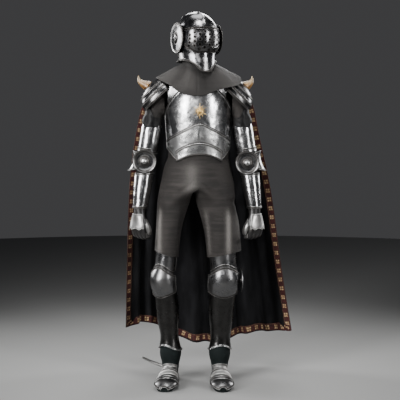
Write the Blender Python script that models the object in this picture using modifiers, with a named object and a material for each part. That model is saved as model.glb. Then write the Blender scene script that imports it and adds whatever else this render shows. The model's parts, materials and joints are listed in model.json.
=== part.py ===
"""A suit of plate armour, worn standing, with mail mantle, mail breeches and a long cape.

Tables and sizes are in millimetres, with heights above the soles; the scene is in metres.
X runs to the wearer's left, Y to the back and Z up. The origin is on the shoulder line,
where the wearer carries the suit. Azimuth 0 is the front and 90 the wearer's left.
"""

import math
from collections import namedtuple

import bmesh
import bpy
from mathutils import Matrix, Vector

MM = 0.001
ORIGIN_HEIGHT = 1480.0
SUIT_NAME = "plate_armour_suit"

# Walls and clearances
PLATE_WALL = 1.5
MAIL_WALL = 2.0
CLOTH_WALL = 2.0
LEATHER_WALL = 2.0
LAYER_GAP = 0.7
TORSO_STEP = 15
LIMB_COUNT = 16
TORSO_SHIFT = 6.5
TORSO_TURN = 3.0

# Name: colour, roughness, metallic
FINISHES = {
    "polished_steel": ((0.55, 0.56, 0.58), 0.25, 1.0),
    "dark_steel": ((0.13, 0.13, 0.14), 0.4, 1.0),
    "mail": ((0.22, 0.21, 0.20), 0.7, 0.5),
    "black_velvet": ((0.01, 0.01, 0.012), 0.95, 0.0),
    "red_braid": ((0.14, 0.03, 0.02), 0.8, 0.0),
    "black_leather": ((0.03, 0.035, 0.035), 0.6, 0.0),
    "horn": ((0.62, 0.47, 0.26), 0.4, 0.0),
    "gilt": ((0.70, 0.50, 0.20), 0.35, 1.0),
}

SIDES = {"left": 1, "right": -1}

Section = namedtuple("Section", "z cx cy rx front back")
Edge = namedtuple("Edge", "angle z")
Bend = namedtuple("Bend", "inner_x inner_z outer_x outer_z side slack")
Stop = namedtuple("Stop", "along radius")
HemPoint = namedtuple("HemPoint", "angle reach z")
FootRing = namedtuple("FootRing", "along z lean half_width front back")
HandRing = namedtuple("HandRing", "z cx cy half_width half_depth")
Finger = namedtuple("Finger", "first length")
CapeRow = namedtuple("CapeRow", "right right_back back left_back left fold")

# The torso under the breastplate, waist to neck
TORSO = [
    Section(1040, 0, 0, 150, 112, 108),
    Section(1100, 0, 0, 150, 114, 104),
    Section(1165, 0, 0, 154, 120, 103),
    Section(1230, 0, 0, 159, 129, 107),
    Section(1300, 0, 0, 164, 135, 112),
    Section(1355, 0, 0, 165, 137, 115),
    Section(1400, 0, 0, 158, 134, 114),
    Section(1445, 0, 0, 140, 122, 108),
    Section(1490, 0, 0, 112, 102, 98),
    Section(1530, 0, 0, 84, 84, 86),
]

# The mail over hips, from the waist to the fork of the legs
HIPS = [
    Section(1165, 0, 0, 150.8, 116.8, 99.8),
    Section(1120, 0, 0, 149, 114, 104),
    Section(1075, -4, 0, 163, 116, 116),
    Section(1020, -5, 0, 174, 120, 124),
    Section(970, -6, 0, 184, 122, 124),
]
FORK_X = -17.0

# The legs under their plates, one table for each side because one knee turns outwards
LEGS = {
    "right": [
        Section(925, -110, 0, 76, 94, 98),
        Section(805, -134, -4, 59, 80, 82),
        Section(730, -144, -6, 54, 76, 76),
        Section(640, -151, -8, 53, 72, 70),
        Section(560, -160, -10, 54, 66, 64),
        Section(505, -163, -12, 54, 62, 60),
        Section(440, -156, -6, 54, 56, 62),
        Section(380, -148, 2, 56, 54, 66),
        Section(300, -144, 6, 52, 50, 60),
        Section(215, -137, 8, 44, 43, 47),
        Section(158, -134, 8, 56, 54, 57),
    ],
    "left": [
        Section(925, 92, 0, 90, 94, 98),
        Section(805, 113, -4, 80, 82, 82),
        Section(730, 121, -6, 74, 78, 76),
        Section(640, 126, -8, 67, 74, 72),
        Section(560, 134, -10, 66, 68, 66),
        Section(505, 135, -12, 66, 62, 60),
        Section(440, 128, -6, 64, 56, 62),
        Section(380, 122, 2, 63, 54, 66),
        Section(300, 120, 6, 56, 50, 60),
        Section(215, 117, 8, 48, 43, 47),
        Section(158, 114, 8, 56, 54, 57),
    ],
}
LEG_TURN = {"right": -32.0, "left": 6.0}

# The mail over the thighs, wider than the plates inside it
THIGHS = {
    "right": [
        Section(925, -110, 0, 84, 100, 104),
        Section(880, -120, 0, 76, 94, 98),
        Section(805, -134, -4, 66, 84, 88),
        Section(730, -144, -6, 60, 79, 82),
        Section(640, -152, -8, 57, 72.6, 76),
    ],
    "left": [
        Section(925, 88, 0, 98, 100, 104),
        Section(880, 95, 0, 93, 96, 98),
        Section(805, 115, -4, 90, 86, 88),
        Section(730, 127, -6, 86, 82, 82),
        Section(640, 135, -8, 83, 75.6, 76),
    ],
}

# The feet: rings from the boot's mouth to its toe; lean 0 is level, 90 stands across the toes
FOOT = [
    FootRing(0, 203, 0, 38, 39, 43),
    FootRing(0, 160, 0, 52.5, 50.5, 52.5),
    FootRing(0, 122, 2, 51, 50, 52),
    FootRing(-2, 90, 14, 43, 50, 52),
    FootRing(14, 60, 38, 40, 46, 78),
    FootRing(26, 48, 52, 41, 44, 80),
    FootRing(64, 34, 70, 45, 38, 60),
    FootRing(110, 28, 84, 51, 31, 40),
    FootRing(158, 25, 90, 54, 27, 30),
    FootRing(196, 22, 90, 48, 23, 26),
    FootRing(222, 16, 90, 29, 13, 20),
]
ANKLES = {"right": (-132.5, 8.0), "left": (113.2, 6.5)}
FOOT_TURN = {"right": -6.0, "left": 3.0}

# The arm, the wearer's left, hanging a little outwards
ARM = [
    Section(1360, 206, 0, 44, 46, 46),
    Section(1300, 222, 0, 49, 50, 50),
    Section(1205, 237, 0, 50, 52, 52),
    Section(1140, 249, 2, 48, 51, 51),
    Section(1090, 257, 4, 47, 49, 50),
    Section(1020, 266, 0, 47, 48, 48),
    Section(960, 273, -8, 44, 46, 46),
    Section(866, 285, -20, 35, 37, 37),
]

# The mail sleeve round the shoulder, armhole first; slack is what the wearer's right has less
SLEEVE_HEAD = [
    Bend(174.9, 1330, 175.9, 1458, 44, 13.4),
    Bend(175.8, 1327, 216, 1440, 44, 11),
    Bend(176.5, 1322, 241, 1398, 44, 6),
    Bend(177, 1314, 250, 1344, 44, 2),
]

# Hand and glove, the wearer's left; the back of the hand looks forward and outward
HAND = [
    HandRing(884, 283, -18, 32.5, 32.5),
    HandRing(846, 287, -22, 29, 26),
    HandRing(820, 289, -25, 36, 21),
    HandRing(792, 291, -28, 41, 18),
    HandRing(768, 292, -31, 42, 16),
]
HAND_TURN = 38.0
HAND_ANGLES = [155.0, 117.0, 90.0, 63.0, 25.0, -25.0, -63.0, -90.0, -117.0, -155.0]
FINGERS = [Finger(0, 0.93), Finger(1, 1.0), Finger(2, 0.95), Finger(3, 0.8)]

# The domed pauldron, the wearer's left: rim centre, axis through the horn, radii
PAULDRON = {"z": 1420.0, "lean": 43.5, "down": 102.0, "side": 84.0, "height": 79.0}
PAULDRON_X = {"right": 182.0, "left": 180.0}
PAULDRON_COUNT = 16
PAULDRON_LIFT = PLATE_WALL + 1.0
HORNS = {"right": ((302.0, 1492.0), (292.0, 1527.0)), "left": ((284.0, 1490.0), (274.0, 1525.0))}
ELBOW_DISCS = {"right": (260.0, 1100.0), "left": (249.0, 1092.0)}

# The mantle's hem on each side: short in front, wide over the shoulders
MANTLE_HEM = {
    "right": [
        HemPoint(0, 134, 1422), HemPoint(15, 135, 1423), HemPoint(30, 140, 1430),
        HemPoint(45, 150, 1444), HemPoint(60, 166, 1474), HemPoint(75, 192, 1497),
        HemPoint(90, 210, 1515), HemPoint(105, 202, 1512), HemPoint(120, 182, 1482),
        HemPoint(135, 164, 1460), HemPoint(150, 153, 1446), HemPoint(165, 148, 1439), HemPoint(180, 147, 1436),
    ],
    "left": [
        HemPoint(0, 134, 1422), HemPoint(15, 136, 1427), HemPoint(30, 146, 1444),
        HemPoint(45, 173, 1458), HemPoint(60, 206, 1471), HemPoint(75, 215, 1488),
        HemPoint(90, 212, 1518), HemPoint(105, 204, 1512), HemPoint(120, 182, 1482),
        HemPoint(135, 164, 1460), HemPoint(150, 153, 1446), HemPoint(165, 148, 1439), HemPoint(180, 147, 1436),
    ],
}

# The cape's plan and height at its two front edges, its back and between them, shoulder to hem
CAPE = [
    CapeRow((-215, 97, 1440), (-115, 106.4, 1463.4), (6, 117, 1486), (120, 106.4, 1463.4), (220, 97, 1440), 0),
    CapeRow((-274, 104, 1385), (-140, 124, 1398), (5, 133, 1408), (147, 124, 1398), (279, 104, 1395), 3),
    CapeRow((-303, 116, 1285), (-160, 150, 1285), (4, 157, 1285), (167, 150, 1285), (304, 113, 1300), 7),
    CapeRow((-331, 136, 1130), (-190, 192, 1130), (3, 197, 1130), (197, 192, 1130), (341, 131, 1130), 11),
    CapeRow((-349, 156, 950), (-215, 227, 950), (2, 232, 950), (232, 227, 950), (381, 151, 940), 15),
    CapeRow((-358, 173, 740), (-235, 264, 732), (1, 270, 722), (264, 260, 730), (413, 169, 718), 19),
    CapeRow((-364, 188, 500), (-250, 302, 490), (0, 312, 460), (292, 292, 480), (448, 185, 470), 23),
    CapeRow((-369, 201, 231), (-244, 330, 232), (0, 347, 130), (302, 326, 186), (491, 201, 214), 27),
]
CAPE_COLUMNS = 32
CAPE_FOLDS = 9
BORDER = 36.0

# Helmet: turned to the wearer's left, swinging visor on side pivots
HELMET = {"x": -2.0, "y": 0.0, "z": 1711.0, "yaw": 24.0}
HELMET_HALF_WIDTH = 106.0
SKULL_RADIUS = [
    Stop(-20, 126),
    Stop(16, 128),
    Stop(60, 130),
    Stop(90, 132),
    Stop(105, 138),
    Stop(118, 143),
    Stop(140, 138),
    Stop(165, 130),
    Stop(195, 122),
    Stop(222, 114),
]
VISOR_RADIUS = 134.5
VISOR_HALF_WIDTH = 109.5
DISC_RADIUS = 77.0
BEVOR = [
    Section(-14, 0, 0, 99, 124, 118),
    Section(-50, 0, 0, 98, 116, 112),
    Section(-66, 0, 0, 96, 112, 108),
    Section(-78, 0, 0, 94, 107, 104),
    Section(-92, 0, 0, 92, 109, 101),
    Section(-115, 0, 0, 90, 113, 98),
    Section(-150, 0, 0, 90, 113, 96),
    Section(-185, 0, 0, 92, 116, 98),
]


def place(x, y, z):
    """A point in metres from millimetres, heights counted from the soles."""
    return Vector((x * MM, y * MM, (z - ORIGIN_HEIGHT) * MM))


def smooth(value, low, high):
    """0 below low, 1 above high and an S between them."""
    share = min(1.0, max(0.0, (value - low) / (high - low)))
    return share * share * (3 - 2 * share)


def between(rows, key, value):
    """A table's row at any value of one column, on a smooth curve through its rows."""
    rows = sorted(rows, key=lambda row: getattr(row, key))
    low = max(i for i, row in enumerate(rows[:-1]) if getattr(row, key) <= value or i == 0)
    corners = [rows[max(low - 1, 0)], rows[low], rows[low + 1], rows[min(low + 2, len(rows) - 1)]]
    start, end = getattr(corners[1], key), getattr(corners[2], key)
    t = min(1.0, max(0.0, (value - start) / (end - start)))
    result = {}
    for field in rows[0]._fields:
        a, b, c, d = (getattr(row, field) for row in corners)
        before, after, span = getattr(corners[0], key), getattr(corners[3], key), end - start
        slope_b = (c - a) / (end - before) * span if end != before else 0.0
        slope_c = (d - b) / (after - start) * span if after != start else 0.0
        result[field] = (
            b * (1 + 2 * t) * (1 - t) ** 2
            + slope_b * t * (1 - t) ** 2
            + c * t * t * (3 - 2 * t)
            + slope_c * t * t * (t - 1)
        )
    result[key] = value
    return type(rows[0])(**result)


def edge_height(edge, angle):
    """Height of an outline at an azimuth, straight between its points, the same on both sides."""
    angle = abs(angle)
    for low, high in zip(edge, edge[1:]):
        if low.angle <= angle <= high.angle:
            share = (angle - low.angle) / (high.angle - low.angle)
            return low.z + (high.z - low.z) * share
    return edge[-1].z


def on_section(section, angle, grow=0.0):
    """X and Y of a point on a level section at an azimuth, moved out by grow."""
    sine, cosine = math.sin(math.radians(angle)), math.cos(math.radians(angle))
    depth = section.front if cosine > 0 else section.back
    return section.cx + (section.rx + grow) * sine, section.cy - (depth + grow) * cosine


def on_form(table, angle, z, grow=0.0, side=1):
    """A point on a limb's or the torso's form; side -1 mirrors it to the wearer's right."""
    x, y = on_section(between(table, "z", z), angle, grow)
    return place(side * x, y, z)


def span(start, end, step):
    """Azimuths from start to end, both included."""
    count = max(1, round((end - start) / step))
    return [start + (end - start) * i / count for i in range(count + 1)]


def circle(count):
    """Azimuths all round, without repeating the first."""
    return [360.0 * i / count for i in range(count)]


def finish_of(name):
    """The named material, made once."""
    made = bpy.data.materials.get(name)
    if made:
        return made
    colour, roughness, metallic = FINISHES[name]
    made = bpy.data.materials.new(name)
    made.use_nodes = True
    shader = made.node_tree.nodes["Principled BSDF"]
    shader.inputs["Base Color"].default_value = (*colour, 1.0)
    shader.inputs["Roughness"].default_value = roughness
    shader.inputs["Metallic"].default_value = metallic
    return made


def add_object(name, bm, finish, cutter=False):
    """Puts a bmesh into the scene as a smooth-shaded object with its finish."""
    mesh = bpy.data.meshes.new(name)
    bm.to_mesh(mesh)
    bm.free()
    mesh.shade_smooth()
    mesh.set_sharp_from_angle(angle=math.radians(50))
    obj = bpy.data.objects.new(name, mesh)
    if cutter:
        obj.hide_render = True
        obj.display_type = "WIRE"
        bpy.data.collections["cutters"].objects.link(obj)
    else:
        mesh.materials.append(finish_of(finish))
        bpy.data.collections[SUIT_NAME].objects.link(obj)
    return obj


def skin(rows, closed=False, cap_first=False, cap_last=False, flip=False):
    """A bmesh of quads through rows of points; rows run down and their points run leftwards."""
    bm = bmesh.new()
    grid = [[bm.verts.new(point) for point in row] for row in rows]
    for upper, lower in zip(grid, grid[1:]):
        count = len(upper)
        for i in range(count if closed else count - 1):
            j = (i + 1) % count
            bm.faces.new((upper[i], lower[i], lower[j], upper[j]))
    if cap_first:
        bm.faces.new(grid[0])
    if cap_last:
        bm.faces.new(reversed(grid[-1]))
    if flip:
        bmesh.ops.reverse_faces(bm, faces=bm.faces)
    return bm


def wall(obj, thickness, outward=True, even=True):
    """Gives an open surface its wall with Solidify."""
    modifier = obj.modifiers.new("wall", "SOLIDIFY")
    modifier.thickness = thickness * MM
    modifier.offset = 1 if outward else -1
    modifier.use_even_offset = even
    modifier.use_quality_normals = True
    return obj


def plate(name, finish, point_at, angles, top, bottom, steps, thickness, side=1, closed=False):
    """A wall on a form between two outlines, given as heights by azimuth."""
    rows = []
    for step in range(steps + 1):
        share = step / steps
        row = [point_at(a, top(a) * (1 - share) + bottom(a) * share) for a in angles]
        rows.append(row)
    obj = add_object(name, skin(rows, closed=closed, flip=side < 0), finish)
    return wall(obj, thickness)


def apply_modifiers(obj):
    """Replaces an object's mesh by its evaluated mesh."""
    graph = bpy.context.evaluated_depsgraph_get()
    mesh = bpy.data.meshes.new_from_object(obj.evaluated_get(graph))
    obj.modifiers.clear()
    obj.data = mesh
    return obj


def boolean(obj, cutter, operation="DIFFERENCE"):
    """Cuts or joins with the EXACT solver and keeps the result."""
    modifier = obj.modifiers.new(operation.lower(), "BOOLEAN")
    modifier.operation = operation
    modifier.object = cutter
    return apply_modifiers(obj)


def turned(name, finish, profile, matrix, count=24):
    """A solid of revolution; profile rows are along the axis and radius, tip first."""
    rows = []
    for stop in profile:
        row = []
        for angle in circle(count):
            turn = math.radians(angle)
            local = Vector((stop.radius * math.cos(turn), stop.radius * math.sin(turn), stop.along))
            row.append(matrix @ local)
        rows.append(row)
    return add_object(name, skin(rows, closed=True, cap_first=True, cap_last=True), finish)


def axis_frame(origin, direction):
    """A millimetre-to-metre frame whose Z runs along direction."""
    turn = Vector(direction).to_track_quat("Z", "Y").to_matrix().to_4x4()
    return Matrix.Translation(origin) @ turn @ Matrix.Scale(MM, 4)


# Helmet

def helmet_point(x, y, z):
    """A point given from the visor's pivot axis, in the turned helmet's own frame."""
    yaw = math.radians(HELMET["yaw"])
    turned_x = x * math.cos(yaw) - y * math.sin(yaw)
    turned_y = x * math.sin(yaw) + y * math.cos(yaw)
    return place(HELMET["x"] + turned_x, HELMET["y"] + turned_y, HELMET["z"] + z)


def globe(rise, width, half_width, radius):
    """A point on a globe whose poles are the visor's pivots: rise 0 is the front, 90 the top."""
    lift, across = math.radians(rise), math.radians(width)
    reach = radius * math.cos(across)
    return (half_width * math.sin(across), -reach * math.cos(lift), reach * math.sin(lift))


def make_skull():
    """The helmet's bowl, brow to nape, with a low comb along its middle."""
    widths = [-87.2, -72, -54, -36, -18, -5, 0, 5, 18, 36, 54, 72, 87.2]
    rows = []
    for rise in span(14, 222, 19):
        radius = between(SKULL_RADIUS, "along", rise).radius
        row = []
        for width in widths:
            comb = 4.0 * (1 - smooth(abs(width), 0, 6)) * smooth(rise, 14, 60)
            row.append(helmet_point(*globe(rise, width, HELMET_HALF_WIDTH, radius + comb)))
        rows.append(row)
    obj = add_object("helmet_skull", skin(rows, flip=True), "polished_steel")
    return wall(obj, PLATE_WALL, outward=False)


def visor_rise(width, upper):
    """Rise of the visor's upper or lower edge at a width, level across the face."""
    reach = VISOR_RADIUS * math.cos(math.radians(width))
    height = 47.0 - 9.0 * smooth(abs(width), 10, 70) if upper else -76.0 + 40.0 * smooth(abs(width), 20, 66)
    return math.degrees(math.asin(max(-0.78, min(0.78, height / reach))))


def make_visor():
    """The pierced visor: a band of the globe, and the two ears it turns on."""
    widths = span(-72, 72, 12)
    rows = []
    steps = 5
    for step in range(steps + 1):
        share = step / steps
        row = []
        for width in widths:
            rise = visor_rise(width, True) * (1 - share) + visor_rise(width, False) * share
            row.append(helmet_point(*globe(rise, width, VISOR_HALF_WIDTH, VISOR_RADIUS)))
        rows.append(row)
    visor = add_object("visor", skin(rows), "polished_steel")
    apply_modifiers(wall(visor, PLATE_WALL))
    cut_breaths(visor)
    for side_name, side in SIDES.items():
        boolean(visor, make_visor_ear(side_name, side), "UNION")
    return visor


def make_visor_ear(side_name, side):
    """The ring of a visor's ear, round the pivot pin, as a helper for the union."""
    bore, rim = 5.4, 42.0
    stops = [Stop(0, bore), Stop(-2, rim), Stop(-0.5, rim), Stop(1.5, bore)]
    frame = pivot_frame(side, 106.3)
    rows = []
    for stop in [*stops, stops[0]]:
        row = []
        for angle in circle(16):
            turn = math.radians(angle)
            local = Vector((stop.radius * math.cos(turn), stop.radius * math.sin(turn), stop.along))
            row.append(frame @ local)
        rows.append(row)
    bm = skin(rows, closed=True)
    bmesh.ops.remove_doubles(bm, verts=bm.verts, dist=0.02 * MM)
    bmesh.ops.recalc_face_normals(bm, faces=bm.faces)
    return add_object(f"visor_ear_{side_name}", bm, "polished_steel", cutter=True)


def pivot_frame(side, reach):
    """A frame on the visor's pivot axis, its Z out of the helmet on one side."""
    yaw = math.radians(HELMET["yaw"])
    direction = (side * math.cos(yaw), side * math.sin(yaw), 0)
    return axis_frame(helmet_point(side * reach, 0, 0), direction)


def cut_breaths(visor):
    """Cuts the slanting rows of round breaths and the two sight slits through the visor."""
    bm = bmesh.new()
    for column in range(8):
        width = -45.5 + 13 * column
        for line in range(4):
            rise = 5 - 11.0 * line + (5.5 if column % 2 else 0)
            if rise > visor_rise(width, False) + 5:
                add_breath(bm, width, rise, 4.5, 4.5, 6)
    for width in (-22, 22):
        add_breath(bm, width, 14.5, 30, 3.2, 8)
    cutter = add_object("breath_cutter", bm, "dark_steel", cutter=True)
    boolean(visor, cutter)


def add_breath(bm, width, rise, half_long, half_high, count):
    """Adds one cutter that points out of the globe at a width and rise."""
    inner = Vector(helmet_point(*globe(rise, width, VISOR_HALF_WIDTH - 14, VISOR_RADIUS - 14)))
    outer = Vector(helmet_point(*globe(rise, width, VISOR_HALF_WIDTH + 14, VISOR_RADIUS + 14)))
    direction = outer - inner
    level = direction.cross(Vector((0, 0, 1))).normalized()
    basis = Matrix((level, direction.normalized().cross(level), direction.normalized())).transposed()
    frame = Matrix.Translation((inner + outer) / 2) @ basis.to_4x4()
    size = Matrix.Diagonal((half_long * MM, half_high * MM, 1, 1))
    bmesh.ops.create_cone(
        bm, cap_ends=True, segments=count, radius1=1, radius2=1, depth=direction.length, matrix=frame @ size
    )


def make_bevor():
    """The chin and cheek defence, lowest at the chin, inside the visor's lower edge."""
    edge = [Edge(0, -172), Edge(15, -168), Edge(30, -144), Edge(45, -124), Edge(75, -112), Edge(96, -112)]

    def point_at(angle, z):
        section = between(BEVOR, "z", z)
        return helmet_point(*on_section(section, angle), z)

    def top(angle):
        return -56 + 22 * smooth(abs(angle), 40, 84)

    return plate(
        "helmet_bevor",
        "polished_steel",
        point_at,
        span(-90, 90, TORSO_STEP),
        top,
        lambda angle: edge_height(edge, angle),
        5,
        PLATE_WALL,
    )


def make_neck_guard():
    """The flared rim behind the bevor, from cheek to cheek round the nape."""
    guard = [
        Section(-68, 0, 2, 96, 108, 91),
        Section(-102, 0, 2, 91, 106, 92),
        Section(-118, 0, 2, 100, 112, 101),
    ]

    def point_at(angle, z):
        return helmet_point(*on_section(between(guard, "z", z), angle), z)

    return plate(
        "helmet_neck_guard",
        "polished_steel",
        point_at,
        [90.4, *span(105, 255, TORSO_STEP), 269.6],
        lambda angle: -80 + 6 * smooth(180 - abs(angle - 180), 130, 165),
        lambda angle: -117,
        3,
        PLATE_WALL,
    )


def make_ear_disc(side_name, side):
    """The large dished disc over a visor pivot, with its boss outside and its pin inside."""
    profile = [
        Stop(-13, 5.2),
        Stop(-1, 5.2),
        Stop(-1, 22),
        Stop(-6, 68),
        Stop(-8, DISC_RADIUS - 2),
        Stop(-5.5, DISC_RADIUS),
        Stop(-3.5, DISC_RADIUS - 3),
        Stop(-4, 68),
        Stop(2, 28),
        Stop(8, 20),
        Stop(11, 6),
    ]
    frame = pivot_frame(side, 112.0)
    return turned(f"helmet_ear_disc_{side_name}", "polished_steel", profile[::-1], frame, 16)


# Torso

def torso_place(x, y, z):
    """A point of the trunk, which stands a little to the left and turns a little left."""
    turn = math.radians(TORSO_TURN)
    turned_x = x * math.cos(turn) - y * math.sin(turn)
    turned_y = x * math.sin(turn) + y * math.cos(turn)
    return place(turned_x + TORSO_SHIFT, turned_y, z)


def on_torso(angle, z, grow=0.0):
    """A point on the trunk's form."""
    x, y = on_section(between(TORSO, "z", z), angle, grow)
    return torso_place(x, y, z)


def cuirass_top(angle):
    """The cuirass's upper outline: level at the neck, cut away for the arms."""
    top = [Edge(0, 1478), Edge(30, 1478), Edge(45, 1448), Edge(60, 1406), Edge(75, 1364), Edge(90, 1345)]
    return edge_height(top, angle)


def make_breastplate():
    """The front of the cuirass, armholes cut away at its upper corners."""
    return plate(
        "breastplate",
        "polished_steel",
        on_torso,
        [-89.9, *span(-75, 75, TORSO_STEP), 89.9],
        cuirass_top,
        lambda angle: 1172,
        7,
        PLATE_WALL,
    )


def make_backplate():
    """The back of the cuirass, meeting the breastplate at the sides."""
    return plate(
        "backplate",
        "polished_steel",
        on_torso,
        [90.1, *span(105, 255, TORSO_STEP), 269.9],
        lambda angle: cuirass_top(angle - 180),
        lambda angle: 1172,
        5,
        PLATE_WALL,
    )


def make_belly_plates():
    """Two lames that lap upwards over the breastplate, the upper one peaked like a gable."""
    gable = [Edge(0, 1284), Edge(15, 1268), Edge(45, 1230), Edge(75, 1203), Edge(90, 1196)]
    hem = [Edge(0, 1152), Edge(30, 1136), Edge(45, 1114), Edge(60, 1136), Edge(75, 1158), Edge(90, 1164)]
    lower_top = [Edge(0, 1190), Edge(15, 1184), Edge(30, 1168), Edge(45, 1148)]
    lower_hem = [Edge(0, 1134), Edge(15, 1130), Edge(30, 1117), Edge(45, 1100)]
    lift = PLATE_WALL + LAYER_GAP
    upper = plate(
        "belly_plate_upper",
        "polished_steel",
        lambda angle, z: on_torso(angle, z, lift),
        [-89.9, *span(-75, 75, TORSO_STEP), 89.9],
        lambda angle: edge_height(gable, angle),
        lambda angle: edge_height(hem, angle),
        4,
        PLATE_WALL,
    )
    lower = plate(
        "belly_plate_lower",
        "polished_steel",
        lambda angle, z: on_torso(angle, z, 2 * lift + 3 * (1 - smooth(z, 1098, 1130))),
        span(-45, 45, TORSO_STEP),
        lambda angle: edge_height(lower_top, angle),
        lambda angle: edge_height(lower_hem, angle),
        3,
        PLATE_WALL,
    )
    return upper, lower


def make_sun_boss():
    """A gilt sun on the breast: twelve rays round a plain domed boss."""
    centre_z, ray_count = 1347, 12
    section = between(TORSO, "z", centre_z)
    facet = math.radians(TORSO_STEP)
    slope = section.front * (1 - math.cos(facet)) / (section.rx * math.sin(facet))
    base = section.front + PLATE_WALL + 0.4

    def point_at(x, out, z):
        return torso_place(x, -(base - slope * abs(x) + out), centre_z + z)

    rings = []
    for out, share, fill in ((0.0, 1.0, 0.0), (1.6, 1.0, 0.0), (3.4, 0.0, 12.0), (7.0, 0.0, 6.0)):
        ring = []
        for i in range(2 * ray_count):
            turn = math.radians(180.0 * i / ray_count)
            radius = (14.0, 27.0, 14.0, 34.0)[i % 4] * share + fill
            ring.append(point_at(radius * math.sin(turn), out, radius * math.cos(turn)))
        rings.append(ring)
    bm = skin(rings, closed=True, cap_last=True)
    middle = bm.verts.new(point_at(0, 0.0, 0))
    bm.verts.ensure_lookup_table()
    count = len(rings[0])
    for i in range(count):
        bm.faces.new((bm.verts[i], bm.verts[(i + 1) % count], middle))
    bmesh.ops.recalc_face_normals(bm, faces=bm.faces)
    return add_object("sun_boss", bm, "gilt")


def make_mantle():
    """The mail mantle: a standing collar inside the helmet, spreading over both shoulders."""
    angles = circle(360 // TORSO_STEP)
    rows = [[mantle_point(angle, 77, mantle_collar(angle) + 22) for angle in angles]]
    for share in (0.0, 0.25, 0.5, 0.78, 1.0):
        row = []
        for angle in angles:
            turn = (angle + 180) % 360 - 180
            hem = between(MANTLE_HEM["left" if turn > 0 else "right"], "angle", abs(turn))
            collar_z = mantle_collar(angle)
            radius = 80 + (hem.reach - 80) * share
            crown = 10 * math.sin(math.pi * share) * (1 - abs(math.sin(math.radians(angle))))
            row.append(mantle_point(angle, radius, collar_z + (hem.z - collar_z) * share + crown))
        rows.append(row)
    obj = add_object("mail_mantle", skin(rows, closed=True), "mail")
    return wall(obj, MAIL_WALL)


def mantle_collar(angle):
    """Height where the collar turns out into the mantle, lowest under the chin."""
    return 1588 - 30 * (1 - smooth(abs((angle + 180) % 360 - 180), 20, 80))


def mantle_point(angle, radius, z):
    """A point round the neck at an azimuth and reach."""
    turn = math.radians(angle)
    return torso_place(radius * math.sin(turn), 2 - radius * math.cos(turn), z)


# Arms

def sleeve_row(bend, side):
    """One ring of the sleeve head, all of them close together under the arm."""
    slack = 0.0 if side > 0 else bend.slack
    row = []
    for angle in circle(LIMB_COUNT):
        turn = math.radians(angle)
        share = (1 + math.sin(turn)) / 2
        x = bend.inner_x - slack + (bend.outer_x - bend.inner_x) * share
        z = bend.inner_z + (bend.outer_z - bend.inner_z) * share
        row.append(place(side * x, -bend.side * math.cos(turn), z))
    return row


def make_sleeve(side_name, side):
    """The mail sleeve from the armhole, over the shoulder and down inside the arm plates."""
    rows = [sleeve_row(bend, side) for bend in SLEEVE_HEAD]
    for z, inset in ((1280, 4.2), (1150, 4.2), (1000, 6.8)):
        rows.append([on_form(ARM, a, z, -inset, side) for a in circle(LIMB_COUNT)])
    obj = add_object(f"mail_sleeve_{side_name}", skin(rows, closed=True, flip=side < 0), "mail")
    return wall(obj, MAIL_WALL)


def pauldron_point(side_name, polar, around, grow):
    """A point on a pauldron's dome: polar 0 is under the horn, around 0 points down the arm."""
    side = SIDES[side_name]
    lean = math.radians(PAULDRON["lean"])
    axis = Vector((math.sin(lean), 0, math.cos(lean)))
    down = Vector((math.cos(lean), 0, -math.sin(lean)))
    front = Vector((0, -1, 0))
    t, u = math.radians(polar), math.radians(around)
    offset = (
        axis * (PAULDRON["height"] + grow) * math.cos(t)
        + down * (PAULDRON["down"] + grow) * math.sin(t) * math.cos(u)
        + front * (PAULDRON["side"] + grow) * math.sin(t) * math.sin(u)
    )
    return place(side * (PAULDRON_X[side_name] + offset.x), offset.y, PAULDRON["z"] + offset.z)


def make_pauldron(side_name, side):
    """Cap and two lames, each lapping the next one down, as bands round the horn's axis."""
    lift = PAULDRON_LIFT
    bands = [("cap", 6, 51, 2 * lift, 3), ("lame_1", 46, 71, lift, 2), ("lame_2", 66, 90, 0.0, 2)]
    for label, first, last, grow, steps in bands:
        rows = []
        for polar in span(first, last, (last - first) / steps):
            rows.append([pauldron_point(side_name, polar, a, grow) for a in circle(PAULDRON_COUNT)])
        bm = skin(rows, closed=True, cap_first=label == "cap", flip=side > 0)
        wall(add_object(f"pauldron_{label}_{side_name}", bm, "polished_steel"), PLATE_WALL)


def make_horn(side_name, side):
    """A short upswept horn, its foot shaped to the pauldron's cap."""
    seat = 2 * PAULDRON_LIFT + PLATE_WALL + 1.2
    foot = []
    middle = 4.0
    for angle in circle(10):
        turn = math.radians(angle)
        down, front = middle + 15 * math.cos(turn), 18 * math.sin(turn)
        around = math.degrees(math.atan2(front, down))
        foot.append(pauldron_point(side_name, math.hypot(down, front), around, seat))
    rows = [foot]
    root = pauldron_point(side_name, middle, 0, seat)
    (knee_x, knee_z), (tip_x, tip_z) = HORNS[side_name]
    knee, tip = place(side * knee_x, 0, knee_z), place(side * tip_x, 0, tip_z)
    for share, radius in ((0.22, 20.0), (0.42, 15.5), (0.62, 10.5), (0.82, 5.8), (1.0, 2.0)):
        centre = root * (1 - share) ** 2 + knee * 2 * share * (1 - share) + tip * share**2
        tangent = ((knee - root) * (1 - share) + (tip - knee) * share).normalized()
        front = Vector((0, -1, 0))
        down = tangent.cross(front) * side
        row = []
        for angle in circle(10):
            turn = math.radians(angle)
            row.append(centre + (down * math.cos(turn) + front * math.sin(turn)) * radius * MM)
        rows.append(row)
    bm = skin(rows, closed=True, cap_last=True)
    centre = bm.verts.new(root)
    bm.verts.ensure_lookup_table()
    for i in range(10):
        bm.faces.new((bm.verts[i], bm.verts[(i + 1) % 10], centre))
    bmesh.ops.recalc_face_normals(bm, faces=bm.faces)
    return add_object(f"horn_{side_name}", bm, "horn")


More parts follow.
